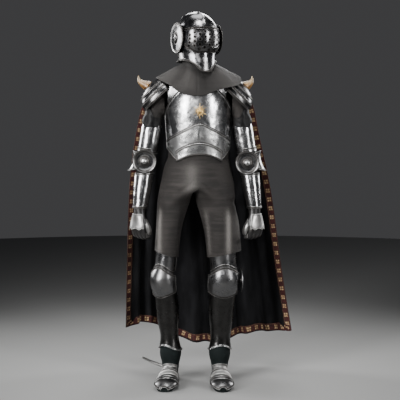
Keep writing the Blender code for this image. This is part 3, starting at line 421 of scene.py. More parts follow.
@dataclass(frozen=True)
class Leather:
    """Worn black leather, blotchy and creased."""

    name: str
    tone: Colour = (0.004, 0.004, 0.0043)
    worn: Colour = (0.016, 0.015, 0.014)
    roughness: float = 0.4
    amount: float = 0.7
    shine: float = 0.1

    def material(self) -> bpy.types.Material:
        """Builds the material."""
        s = Shader(self.name, {"Specular IOR Level": self.shine})
        blotch = s.noise(38, 5, rough=0.6)
        grain = s.noise(330, 3)
        colour = s.mix(blotch.ramp(0.5, 0.72) * self.amount, self.tone, self.worn)
        rough = blotch * 0.25 + (self.roughness - 0.1)
        return s.finish(colour, rough, None, [(blotch, 1.1 * MM), (grain, 0.3 * MM)])


@dataclass(frozen=True)
class Horn:
    """Polished horn, amber at its foot and cream at its tip."""

    name: str
    foot_z: float = -0.012
    tip_z: float = 0.034

    def material(self) -> bpy.types.Material:
        """Builds the material."""
        s = Shader(self.name)
        split = s.node("ShaderNodeSeparateXYZ", {}, {0: s.place})
        height = Signal(s, split.outputs[2])
        streak = s.noise(90, 3, stretch=(1.0, 1.0, 0.25))
        climb = (height + (streak - 0.5) * 0.02).ramp(self.foot_z, self.tip_z)
        base = s.mix(streak.ramp(0.35, 0.65), (0.30, 0.15, 0.03), (0.10, 0.045, 0.014))
        tip = s.mix(streak.ramp(0.3, 0.7), (0.30, 0.23, 0.135), (0.17, 0.12, 0.065))
        colour = s.mix(climb, base, tip)
        return s.finish(colour, streak * 0.2 + 0.28, None, [(streak, 0.5 * MM)])


@dataclass(frozen=True)
class Gilt:
    """Dull gilding, darker in its hollows."""

    name: str

    def material(self) -> bpy.types.Material:
        """Builds the material."""
        s = Shader(self.name)
        blotch = s.noise(190, 4)
        colour = s.mix(blotch.ramp(0.4, 0.68), (0.86, 0.58, 0.22), (0.30, 0.18, 0.06))
        return s.finish(colour, blotch * 0.3 + 0.2, blotch * -0.4 + 1.1, [(blotch, 0.5 * MM)])


class Finishes:
    """Every finish of the suit, each with the record's slot."""

    def __init__(self) -> None:
        """Builds the materials."""
        # One polished steel in lit and shaded copies. The darker helmet, ear, disc, leg, shoulder and arm
        # tones are painted shade, for plates that lie in shade or mirror the dark room. The brighter belly
        # tone is painted light.
        plates = {
            "bright": Steel("polished_steel"),
            "helmet": Steel("helmet_steel_shaded", (0.15, 0.15, 0.158), amount=0.6, roughness=0.15, dents=1.2),
            "ear": Steel("ear_steel_shaded", (0.07, 0.07, 0.073), amount=0.4, roughness=0.16),
            "satin": Steel("satin_steel", (0.46, 0.455, 0.445), amount=0.65, roughness=0.3, edge_shade=0.5),
            "disc": Steel("disc_steel_shaded", (0.17, 0.17, 0.174), amount=0.5, roughness=0.17),
            "leg": Steel("leg_steel_shaded", (0.14, 0.14, 0.143), amount=0.5, roughness=0.27),
            "shoulder": Steel("shoulder_steel_shaded", (0.13, 0.13, 0.134), amount=0.6, roughness=0.19),
            "arm": Steel("arm_steel_shaded", (0.37, 0.37, 0.375), amount=0.5, roughness=0.18),
            "belly": Steel("belly_steel_lit", (0.74, 0.74, 0.735), amount=0.35, roughness=0.25),
        }
        dark = Steel("dark_steel", (0.045, 0.044, 0.043), (0.016, 0.015, 0.014), 0.5, 0.24)
        glove = Leather("glove_leather", (0.010, 0.009, 0.009), (0.06, 0.055, 0.05), 0.34, shine=0.5)
        boot = Leather("boot_leather", (0.003, 0.0055, 0.0055), (0.008, 0.013, 0.0125), 0.75, shine=0.16)
        table = {key: ("polished_steel", plate) for key, plate in plates.items()} | {
            "dark": ("dark_steel", dark),
            "mail": ("mail", Mail("mail")),
            "mantle": ("mail", Mail("mantle_mail", (0.024, 0.021, 0.0195))),
            "velvet": ("black_velvet", Velvet("black_velvet")),
            "braid": ("red_braid", Braid("red_braid")),
            "leather": ("black_leather", Leather("black_leather")),
            "glove": ("black_leather", glove),
            "boot": ("black_leather", boot),
            "horn": ("horn", Horn("horn")),
            "gilt": ("gilt", Gilt("gilt")),
        }
        self.slots = {key: slot for key, (slot, _) in table.items()}
        self.materials = {key: finish.material() for key, (_, finish) in table.items()}


# Shaping

class Edges(Enum):
    """Which part of a plate's outline is meant."""

    ALL = auto()
    TOP = auto()
    BOTTOM = auto()
    ENDS = auto()
    LONGEST = auto()


@dataclass(frozen=True)
class Trim:
    """What runs along an edge: a rolled rim, a raised line inside it and rivets."""

    edges: Edges
    roll: float = 0.0
    line: float = 0.0
    line_at: float = 7.0
    studs: int = 0
    stud: float = 3.0
    studs_at: float = 9.0


@dataclass(frozen=True)
class Crease:
    """A soft trough or ridge between two places of a form, by azimuth and height."""

    turn_a: float
    z_a: float
    turn_b: float
    z_b: float
    depth: float
    width: float
    keel: bool = False


def linked(name: str, data: bpy.types.ID) -> bpy.types.Object:
    """A new object in the scene.

    Args:
        name: its name.
        data: its mesh, curve, lamp or camera.

    Returns:
        The object.
    """
    obj = bpy.data.objects.new(name, data)
    bpy.context.scene.collection.objects.link(obj)
    return obj


def join(bm: bmesh.types.BMesh, part: bmesh.types.BMesh) -> None:
    """Adds a part to a mesh and frees the part.

    Args:
        bm: the mesh.
        part: what is added.
    """
    mesh = bpy.data.meshes.new("part")
    part.to_mesh(mesh)
    part.free()
    bm.from_mesh(mesh)
    bpy.data.meshes.remove(mesh)


def ease(value: float, low: float, high: float) -> float:
    """Rises smoothly from 0 at low to 1 at high.

    Args:
        value: where it is read.
        low: value where the rise starts.
        high: value where it ends.

    Returns:
        The risen share.
    """
    share = min(1.0, max(0.0, (value - low) / (high - low)))
    return share * share * (3 - 2 * share)


def towards(azimuth: float) -> Vector:
    """The level direction at an azimuth in degrees, 0 to the front and 90 to the wearer's left."""
    turn = math.radians(azimuth)
    return Vector((math.sin(turn), -math.cos(turn), 0))


def upright(x: float) -> Callable[[float], Point]:
    """The middle of an upright form, as a function of the height."""
    return lambda z: (x, 0.0, z)


def packed_copy(node: bpy.types.Object) -> bmesh.types.BMesh:
    """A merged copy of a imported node, its triangles joined into quads where they pair.

    Args:
        node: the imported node.

    Returns:
        The copy.
    """
    bm = bmesh.new()
    bm.from_mesh(node.data)
    bmesh.ops.remove_doubles(bm, verts=bm.verts, dist=0.02 * MM)
    bmesh.ops.dissolve_degenerate(bm, edges=bm.edges, dist=0.01 * MM)
    bmesh.ops.join_triangles(
        bm, faces=bm.faces, angle_face_threshold=math.radians(35), angle_shape_threshold=math.radians(75)
    )
    return bm


def islands(bm: bmesh.types.BMesh) -> list[list[bmesh.types.BMFace]]:
    """The groups of faces that hang together.

    Args:
        bm: the mesh.

    Returns:
        The faces of each group.
    """
    groups, seen = [], set()
    for start in bm.faces:
        if start in seen:
            continue
        group, open_faces = [], [start]
        seen.add(start)
        while open_faces:
            face = open_faces.pop()
            group.append(face)
            for edge in face.edges:
                for other in edge.link_faces:
                    if other not in seen:
                        seen.add(other)
                        open_faces.append(other)
        groups.append(group)
    return groups


def outer_face(node: bpy.types.Object, facing: Vector | None = None) -> bmesh.types.BMesh:
    """The outer face of a packed wall: its largest face once its edges are taken off.

    Args:
        node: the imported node.
        facing: where the face looks, for a wall that isn't closed round anything.

    Returns:
        One open sheet.
    """
    bm = packed_copy(node)
    thin = {edge for edge in bm.edges if edge.calc_length() < WALL_EDGE}
    walls = {face for edge in thin for face in edge.link_faces}
    bmesh.ops.delete(bm, geom=list(walls), context="FACES")

    def rank(group: list[bmesh.types.BMFace]) -> float:
        """The area of a group, or how much of it looks the wanted way."""
        if facing:
            return sum(face.normal.dot(facing) * face.calc_area() for face in group)
        return sum(face.calc_area() for face in group)

    bm.normal_update()
    kept = set(max(islands(bm), key=rank))
    bmesh.ops.delete(bm, geom=[face for face in bm.faces if face not in kept], context="FACES")
    return bm


def limit_point(vert: bmesh.types.BMVert) -> Vector:
    """Where a smooth subdivision would carry a point of the sheet.

    Args:
        vert: the point.

    Returns:
        Its place on the smooth surface.
    """
    rim = [edge.other_vert(vert).co for edge in vert.link_edges if edge.is_boundary]
    if vert.is_boundary:
        if len(vert.link_faces) == 1 or len(rim) != 2:
            return vert.co.copy()
        return (4 * vert.co + rim[0] + rim[1]) / 6
    count = len(vert.link_edges)
    near = sum((edge.other_vert(vert).co for edge in vert.link_edges), Vector())
    far = Vector()
    for face in vert.link_faces:
        joined = {edge.other_vert(vert) for edge in vert.link_edges}
        others = [v for v in face.verts if v is not vert and v not in joined]
        far += others[0].co if others else face.calc_center_median()
    return (count * count * vert.co + 4 * near + far) / (count * (count + 5))


def keep_size(bm: bmesh.types.BMesh, rounds: int = 4) -> None:
    """Moves a sheet's points out so that its smooth surface runs through where they were.

    Args:
        bm: the sheet, changed in place.
        rounds: how many times it is corrected.
    """
    goals = {vert: vert.co.copy() for vert in bm.verts}
    for _ in range(rounds):
        moves = {vert: goal - limit_point(vert) for vert, goal in goals.items()}
        for vert, move in moves.items():
            vert.co += move


def evaluated(bm: bmesh.types.BMesh, modifiers: Sequence[tuple[str, dict[str, object]]]) -> bmesh.types.BMesh:
    """Runs modifiers on a mesh.

    Args:
        bm: the mesh, freed afterwards.
        modifiers: each modifier's type and settings, in order.

    Returns:
        The result as a new mesh.
    """
    mesh = bpy.data.meshes.new("shaping")
    bm.to_mesh(mesh)
    bm.free()
    obj = linked("shaping", mesh)
    for kind, settings in modifiers:
        modifier = obj.modifiers.new(kind.lower(), kind)
        for key, value in settings.items():
            setattr(modifier, key, value)
    graph = bpy.context.evaluated_depsgraph_get()
    result = bmesh.new()
    result.from_object(obj, graph)
    bpy.data.objects.remove(obj)
    bpy.data.meshes.remove(mesh)
    return result


def smoothed(bm: bmesh.types.BMesh, levels: int) -> bmesh.types.BMesh:
    """A mesh after smooth subdivision."""
    settings = {"levels": levels, "render_levels": levels, "boundary_smooth": "PRESERVE_CORNERS"}
    return evaluated(bm, [("SUBSURF", settings)])


def edges_kept(node: bpy.types.Object, levels: int) -> bmesh.types.BMesh:
    """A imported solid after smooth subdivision, with its hard edges left hard.

    Args:
        node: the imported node.
        levels: subdivision levels.

    Returns:
        The smooth solid.
    """
    bm = packed_copy(node)
    layer = bm.edges.layers.float.new("crease_edge")
    for edge in bm.edges:
        if len(edge.link_faces) == 2 and edge.calc_face_angle(0.0) > HARD_EDGE:
            edge[layer] = 1.0
    return smoothed(bm, levels)


def outlines(bm: bmesh.types.BMesh) -> list[list[bmesh.types.BMVert]]:
    """A sheet's boundary loops, each in order.

    Args:
        bm: the sheet.

    Returns:
        The vertices of each loop.
    """
    left = {edge for edge in bm.edges if edge.is_boundary}
    loops = []
    while left:
        edge = min(left, key=lambda e: e.index)
        left.discard(edge)
        loop = [edge.verts[0], edge.verts[1]]
        while True:
            following = [e for e in loop[-1].link_edges if e in left]
            if not following:
                break
            left.discard(following[0])
            loop.append(following[0].other_vert(loop[-1]))
        if loop[0] is loop[-1]:
            loop.pop()
        loops.append(loop)
    return loops


def tube(
    bm: bmesh.types.BMesh, points: Sequence[Vector], radius: float, closed: bool, sides: int = 2
) -> None:
    """Adds a round bar along points to a mesh.

    Args:
        bm: the mesh.
        points: the bar's middle line.
        radius: its radius in metres.
        closed: whether it joins its own start.
        sides: the curve's bevel resolution.
    """
    curve = bpy.data.curves.new("bar", "CURVE")
    curve.dimensions = "3D"
    curve.bevel_depth = radius
    curve.bevel_resolution = sides
    curve.use_fill_caps = True
    spline = curve.splines.new("POLY")
    spline.points.add(len(points) - 1)
    for target, point in zip(spline.points, points):
        target.co = (*point, 1.0)
    spline.use_cyclic_u = closed
    obj = linked("bar", curve)
    mesh = bpy.data.meshes.new_from_object(obj.evaluated_get(bpy.context.evaluated_depsgraph_get()))
    part = bmesh.new()
    part.from_mesh(mesh)
    bmesh.ops.remove_doubles(part, verts=part.verts, dist=0.01 * MM)
    join(bm, part)
    bpy.data.objects.remove(obj)
    bpy.data.curves.remove(curve)
    bpy.data.meshes.remove(mesh)


def along_axis(origin: Vector, axis: Vector) -> Matrix:
    """A frame at origin whose Z runs along an axis."""
    return Matrix.Translation(origin) @ axis.to_track_quat("Z", "Y").to_matrix().to_4x4()


def rivet(bm: bmesh.types.BMesh, point: Vector, normal: Vector, radius: float) -> None:
    """Adds a low domed rivet head.

    Args:
        bm: the mesh.
        point: where it sits.
        normal: out of the plate.
        radius: its radius in metres.
    """
    frame = along_axis(point, normal) @ Matrix.Diagonal((1, 1, 0.55, 1))
    bmesh.ops.create_icosphere(bm, subdivisions=2, radius=radius, matrix=frame)


def turned(profile: Sequence[tuple[float, float]], frame: Matrix, steps: int = 56) -> bmesh.types.BMesh:
    """A solid of revolution.

    Args:
        profile: distance along the axis and radius, in millimetres, from the tip round to the back.
        frame: the axis's frame in metres.
        steps: how many steps round.

    Returns:
        The mesh.
    """
    bm = bmesh.new()
    verts = [bm.verts.new((radius * MM, 0.0, along * MM)) for along, radius in profile]
    edges = [bm.edges.new(pair) for pair in zip(verts, verts[1:])]
    bmesh.ops.spin(
        bm, geom=verts + edges, cent=(0, 0, 0), axis=(0, 0, 1), angle=2 * math.pi, steps=steps, use_merge=True
    )
    bmesh.ops.remove_doubles(bm, verts=bm.verts, dist=0.01 * MM)
    bmesh.ops.holes_fill(bm, edges=bm.edges, sides=0)
    bmesh.ops.recalc_face_normals(bm, faces=bm.faces)
    bmesh.ops.transform(bm, matrix=frame, verts=bm.verts)
    return bm


def mark_rim(bm: bmesh.types.BMesh, points: Sequence[Vector]) -> None:
    """Stores how far each vertex is from an outline, 1 at RIM_REACH and beyond.

    Args:
        bm: the mesh.
        points: the outline's points.
    """
    near = KDTree(len(points) or 1)
    for index, point in enumerate(points):
        near.insert(point, index)
    near.balance()
    layer = bm.verts.layers.float.new("rim")
    for vert in bm.verts:
        gap = near.find(vert.co)[2] if points else RIM_REACH
        vert[layer] = min(1.0, gap / RIM_REACH)


def mark_disc(
    bm: bmesh.types.BMesh, frame: Matrix, grooves: Sequence[float], rub_and_highlight: float, rim: float, boss: float
) -> None:
    """Stores the painted shade in a disc's grooves, and how far its rim and boss are painted bright by rubbing
    wear and painted highlight.

    Args:
        bm: the disc.
        frame: its axis's frame.
        grooves: radii of the grooves in millimetres.
        rub_and_highlight: how far rim and boss are painted bright, partly rubbing wear and partly painted
            highlight.
        rim: radius beyond which the rim is painted bright.
        boss: radius within which the boss is painted bright.
    """
    layer = bm.verts.layers.float.new("rim")
    worn = bm.verts.layers.float.new("worn")
    back = frame.inverted()
    for vert in bm.verts:
        local = back @ vert.co
        reach = math.hypot(local.x, local.y) / MM
        # Painted shade line near the grooves. Rim and boss are painted bright, partly rubbing wear and partly
        # painted highlight.
        vert[layer] = min(1.0, min(abs(reach - groove) for groove in grooves) * MM / RIM_REACH)
        vert[worn] = rub_and_highlight if reach > rim or reach < boss else 0.0


def spaced(points: Sequence[Vector], count: int, closed: bool) -> list[int]:
    """Indices of points about evenly spaced along a line.

    Args:
        points: the line's points.
        count: how many are wanted.
        closed: whether the line joins its own start.

    Returns:
        The indices.
    """
    lengths = [0.0]
    for first, second in zip(points, points[1:]):
        lengths.append(lengths[-1] + (second - first).length)
    steps = count if closed else count - 1
    goals = [lengths[-1] * k / max(steps, 1) for k in range(count)]
    return [min(range(len(points)), key=lambda i: abs(lengths[i] - goal)) for goal in goals]


class Shell:
    """The outer face of a packed wall, smoothed, with what is added to it."""

    SAMPLES = 12
    STEEP = 0.45
    LEVEL = 0.6
    BAND_STEPS = 32
    BAND_REACH = 84

    def __init__(self, name: str, suit: "Suit", levels: int = 2, facing: Point | None = None) -> None:
        """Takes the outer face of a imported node.

        Args:
            name: the node's name.
            suit: what the pieces are made in.
            levels: subdivision levels.
            facing: where an open wall looks.
        """
        self.name = name
        self.suit = suit
        sheet = outer_face(suit.nodes[name], Vector(facing) if facing else None)
        keep_size(sheet)
        self.face = smoothed(sheet, levels)
        self.face.normal_update()
        self.extras = bmesh.new()

    def crease(self, creases: Iterable[Crease], centre: Callable[[float], Point]) -> "Shell":
        """Presses soft troughs and raises ridges.

        Args:
            creases: each one's ends, depth and width, in degrees and millimetres.
            centre: the form's middle at a height.

        Returns:
            This shell.
        """
        tree = BVHTree.FromBMesh(self.face)
        verts = list(self.face.verts)
        place = np.array([v.co for v in verts])
        normals = np.array([v.normal for v in verts])
        depth = np.zeros(len(verts))
        for crease in creases:
            path = []
            for k in range(self.SAMPLES + 1):
                share = k / self.SAMPLES
                azimuth = crease.turn_a + (crease.turn_b - crease.turn_a) * share
                z = (crease.z_a + (crease.z_b - crease.z_a) * share) * MM + SOLE_Z
                hit = tree.ray_cast(Vector(centre(z)), towards(azimuth))[0]
                if hit:
                    path.append((np.array(hit), math.sin(math.pi * min(1, max(0, share * 0.92 + 0.04)))))
            for (a, fade_a), (b, fade_b) in zip(path, path[1:]):
                line = b - a
                share = np.clip(((place - a) @ line) / max(line @ line, 1e-12), 0, 1)
                gap = np.linalg.norm(place - a - share[:, None] * line, axis=1)
                fade = (fade_a + (fade_b - fade_a) * share) ** 0.7
                near = gap / (crease.width * MM)
                shape = np.exp(-near if crease.keel else -(near**2)) * fade * crease.depth * MM
                depth = np.where(np.abs(shape) > np.abs(depth), shape, depth)
        for vert, move, normal in zip(verts, depth, normals):
            vert.co += Vector(normal * move)
        self.face.normal_update()
        return self

    def inward(self, loop: Sequence[bmesh.types.BMVert], index: int) -> Vector:
        """The way into the sheet from a point of its outline.

        Args:
            loop: the outline.
            index: the point's place in it.

        Returns:
            A direction of length 1.
        """
        vert = loop[index]
        middle = Vector()
        for face in vert.link_faces:
            middle += face.calc_center_median() / len(vert.link_faces)
        before, after = loop[index - 1], loop[(index + 1) % len(loop)]
        along = (after.co - before.co).normalized()
        way = vert.normal.cross(along)
        return way.normalized() if way.dot(middle - vert.co) > 0 else -way.normalized()

    def runs(self, edges: Edges) -> list[tuple[list[int], list[bmesh.types.BMVert], bool]]:
        """The stretches of the outline that are meant.

        Args:
            edges: which part of the outline.

        Returns:
            For each stretch its indices, its loop and whether it is the whole loop.
        """
        loops = outlines(self.face)
        if edges is Edges.LONGEST:
            def length(loop: list[bmesh.types.BMVert]) -> float:
                """The length of a loop in metres."""
                return sum((a.co - b.co).length for a, b in zip(loop, loop[1:]))

            loops = [max(loops, key=length)]
        if edges in (Edges.ALL, Edges.LONGEST):
            return [(list(range(len(loop))), loop, True) for loop in loops]
        meant = {
            Edges.TOP: lambda rise: rise > self.STEEP,
            Edges.BOTTOM: lambda rise: rise < -self.STEEP,
            Edges.ENDS: lambda rise: abs(rise) < self.LEVEL,
        }[edges]
        found = []
        for loop in loops:
            flags = [meant(-self.inward(loop, index).z) for index in range(len(loop))]
            if all(flags):
                found.append((list(range(len(loop))), loop, True))
                continue
            if not any(flags):
                continue
            start = next(i for i in range(len(loop)) if flags[i] and not flags[i - 1])
            run: list[int] = []
            for step in range(len(loop) + 1):
                index = (start + step) % len(loop)
                if flags[index] and step < len(loop):
                    run.append(index)
                elif len(run) > 3:
                    found.append((run, loop, False))
                    run = []
                else:
                    run = []
        return found

    def trim(self, *trims: Trim) -> "Shell":
        """Adds rims, raised lines and rivets.

        Args:
            trims: what runs along which edge, in millimetres.

        Returns:
            This shell.
        """
        tree = BVHTree.FromBMesh(self.face)
        self.face.verts.index_update()
        for trim in trims:
            for run, loop, closed in self.runs(trim.edges):
                rolled, lined, studded = [], [], []
                for index in run:
                    vert, way = loop[index], self.inward(loop, index)
                    rolled.append(vert.co + way * trim.roll * 0.3 * MM - vert.normal * 0.2 * MM)
                    for line, reach in ((lined, trim.line_at), (studded, trim.studs_at)):
                        hit = tree.find_nearest(vert.co + way * reach * MM)
                        line.append((hit[0], hit[1]))
                if trim.roll:
                    tube(self.extras, rolled, trim.roll * MM, closed)
                if trim.line:
                    raised = [point + normal * 0.2 * trim.line * MM for point, normal in lined]
                    tube(self.extras, raised, trim.line * MM, closed, 1)
                if trim.studs:
                    for index in spaced([p for p, _ in studded], trim.studs, closed):
                        rivet(self.extras, studded[index][0], studded[index][1], trim.stud * MM)
        return self

    def band(self, centre: Vector, lean: float, radius: float) -> None:
        """Lays a raised lame edge over the sheet from side to side.

        Args:
            centre: a point under the sheet, in metres.
            lean: how far the edge leans forward at its middle, per metre up.
            radius: half its thickness in millimetres.
        """
        tree = BVHTree.FromBMesh(self.face)
        points = []
        for step in range(self.BAND_STEPS + 1):
            turn = math.radians(self.BAND_REACH * (2 * step / self.BAND_STEPS - 1))
            way = Vector((math.sin(turn), -lean * math.cos(turn), math.cos(turn))).normalized()
            hit = tree.ray_cast(centre, way)[0]
            if hit:
                points.append(hit)
        if len(points) > 8:
            tube(self.extras, points, radius * MM, False, 1)

    def slant_top(self, side: int, drop: float, height: float) -> None:
        """Lowers the sheet's inner side and carries its outer side up, under what covers it.

        Args:
            side: 1 where the outer side is towards +X, or -1.
            drop: how far the inner side's top comes down, in millimetres.
            height: how far the outer side's top goes up, in millimetres.
        """
        spots = [vert.co.x * side for vert in self.face.verts]
        floor, ceiling = min(v.co.z for v in self.face.verts), max(v.co.z for v in self.face.verts)

        def outer(vert: bmesh.types.BMVert) -> float:
            """How far towards the outer side a point is, eased."""
            return ease((vert.co.x * side - min(spots)) / (max(spots) - min(spots)), 0.3, 0.75)

        for vert in self.face.verts:
            vert.co.z -= drop * MM * (1 - outer(vert)) * (vert.co.z - floor) / (ceiling - floor)
        tops = {vert for run, loop, _ in self.runs(Edges.TOP) for vert in (loop[index] for index in run)}
        edges = [edge for edge in self.face.edges if edge.is_boundary and set(edge.verts) <= tops]
        grown = bmesh.ops.extrude_edge_only(self.face, edges=edges)["geom"]
        moved = [item for item in grown if isinstance(item, bmesh.types.BMVert)]
        for vert in moved:
            vert.co.z += height * MM * outer(vert)
        self.face.normal_update()

    def studs(
        self, places: Iterable[tuple[float, float]], radius: float, centre: Callable[[float], Point]
    ) -> "Shell":
        """Adds rivets at azimuths and heights.

        Args:
            places: azimuth in degrees and height in millimetres from the soles of each.
            radius: a head's radius in millimetres.
            centre: the form's middle at a height.

        Returns:
            This shell.
        """
        tree = BVHTree.FromBMesh(self.face)
        for azimuth, height in places:
            middle = Vector(centre(height * MM + SOLE_Z))
            hit = tree.ray_cast(middle, towards(azimuth))
            if hit[0]:
                outward = hit[1] if hit[1].dot(hit[0] - middle) > 0 else -hit[1]
                rivet(self.extras, hit[0], outward, radius * MM)
        return self

    def build(
        self,
        finish: str,
        wall: float,
        attributes: dict[str, Callable[[Vector], float]] | None = None,
        uv: Callable[[Vector], tuple[float, float]] | None = None,
        shade_from: Sequence[str] = (),
        rub_and_highlight: float = 0.4,
    ) -> bpy.types.Object:
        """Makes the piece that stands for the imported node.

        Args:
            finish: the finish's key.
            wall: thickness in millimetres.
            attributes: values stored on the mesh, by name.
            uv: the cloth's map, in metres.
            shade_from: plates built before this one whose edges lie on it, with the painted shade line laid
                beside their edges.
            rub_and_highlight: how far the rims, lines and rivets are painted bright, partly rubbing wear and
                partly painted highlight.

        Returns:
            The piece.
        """
        rim_points = [vert.co.copy() for loop in outlines(self.face) for vert in loop]
        self.suit.lines[self.name] = list(rim_points)
        # The edges of plates that lie on this one join the outline, so that the painted shade line also falls
        # beside them.
        for name in shade_from:
            rim_points += self.suit.lines[name]
        bm = evaluated(
            self.face, [("SOLIDIFY", {"thickness": wall * MM, "offset": -1.0, "use_even_offset": False})]
        )
        self.extras.normal_update()
        plain = len(bm.verts)
        join(bm, self.extras)
        mark_rim(bm, rim_points)
        # Rims, lines and rivets are painted bright: rubbing wear and painted highlight.
        worn = bm.verts.layers.float.new("worn")
        for index, vert in enumerate(bm.verts):
            vert[worn] = rub_and_highlight if index >= plain else 0.0
        for key, value in (attributes or {}).items():
            extra = bm.verts.layers.float.get(key) or bm.verts.layers.float.new(key)
            for vert in bm.verts:
                vert[extra] = max(vert[extra], value(vert.co))
        if uv:
            self.map_cloth(bm, uv)
        return self.suit.piece(self.name, bm, finish)

    @staticmethod
    def map_cloth(bm: bmesh.types.BMesh, uv: Callable[[Vector], tuple[float, float]]) -> None:
        """Lays a map in metres on a cloth, each face clear of the seam where it wraps.

        Args:
            bm: the cloth.
            uv: the map's two values at a point.
        """
        layer = bm.loops.layers.uv.get("UVMap") or bm.loops.layers.uv.new("UVMap")
        for face in bm.faces:
            centre = face.calc_center_median()
            local = uv.around(centre) if isinstance(uv, Wrap) else uv
            span = local.span if isinstance(local, Wrap) else 0.0
            middle = local(centre)[0]
            for loop in face.loops:
                u, v = local(loop.vert.co)
                loop[layer].uv = (min((u, u - span, u + span), key=lambda value: abs(value - middle)), v)


@dataclass
class Wrap:
    """A map round an upright form: azimuth times a radius, and height."""

    x: float
    y: float
    radius: float
    cone: bool = False
    span: float = field(init=False)
    fork_z: float = -10.0
    legs: tuple[float, float] = (0.0, 0.0)
    neck_radius: float = 0.08
    neck_z: float = 0.108

    def __post_init__(self) -> None:
        """Works out one whole turn of the map."""
        self.span = 2 * math.pi * self.radius

    def around(self, middle: Vector) -> "Wrap":
        """The map for a face: the trunk's, or below the fork its leg's.

        Args:
            middle: the face's middle.

        Returns:
            The map.
        """
        if middle.z > self.fork_z:
            return self
        return Wrap(self.legs[0] if middle.x < -0.01 else self.legs[1], self.y, self.radius * 0.8)

    def __call__(self, point: Vector) -> tuple[float, float]:
        """The map's values at a point.

        Args:
            point: the point, in metres.

        Returns:
            Distance round the form and height, in metres.
        """
        dx, dy = point.x - self.x, point.y - self.y
        turn = math.atan2(dx, -dy)
        if not self.cone:
            return turn * self.radius, point.z
        return turn * self.radius, math.hypot(math.hypot(dx, dy) - self.neck_radius, point.z - self.neck_z)


# The suit

class Suit:
    """What the pieces are made in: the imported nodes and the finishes."""

    def __init__(self, frame: dict[str, object]) -> None:
        """Keeps the frame and builds the finishes.
        """
        self.nodes = frame["nodes"]
        self.finishes = Finishes()
        self.lines: dict[str, list[Vector]] = {}

    def piece(
        self,
        name: str,
        bm: bmesh.types.BMesh,
        finish: str,
        body: str = "suit",
        packed: bool = True,
        sharp: float = 50.0,
    ) -> bpy.types.Object:
        """Puts a mesh into the scene as a finished piece.

        Args:
            name: what it is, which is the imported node's name where it stands for one.
            bm: its mesh, freed afterwards.
            finish: the finish's key.
            body: the body that it rides on.
            packed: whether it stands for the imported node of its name.
            sharp: the angle in degrees above which an edge is sharp.

        Returns:
            The piece.
        """
        mesh = bpy.data.meshes.new(f"{name}_dressed")
        bm.normal_update()
        bm.to_mesh(mesh)
        bm.free()
        mesh.shade_smooth()
        mesh.set_sharp_from_angle(angle=math.radians(sharp))
        mesh.materials.append(self.finishes.materials[finish])
        obj = linked(mesh.name, mesh)
        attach(obj, body)
        if packed:
            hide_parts(name)
        LOG.info("%s: %d faces", obj.name, len(mesh.polygons))
        return obj

    def rounded(self, name: str, finish: str, levels: int = 1) -> bpy.types.Object:
        """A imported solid, smoothed whole, its hard edges kept.

        Args:
            name: the node's name.
            finish: the finish's key.
            levels: subdivision levels.

        Returns:
            The piece.
        """
        return self.piece(name, edges_kept(self.nodes[name], levels), finish)


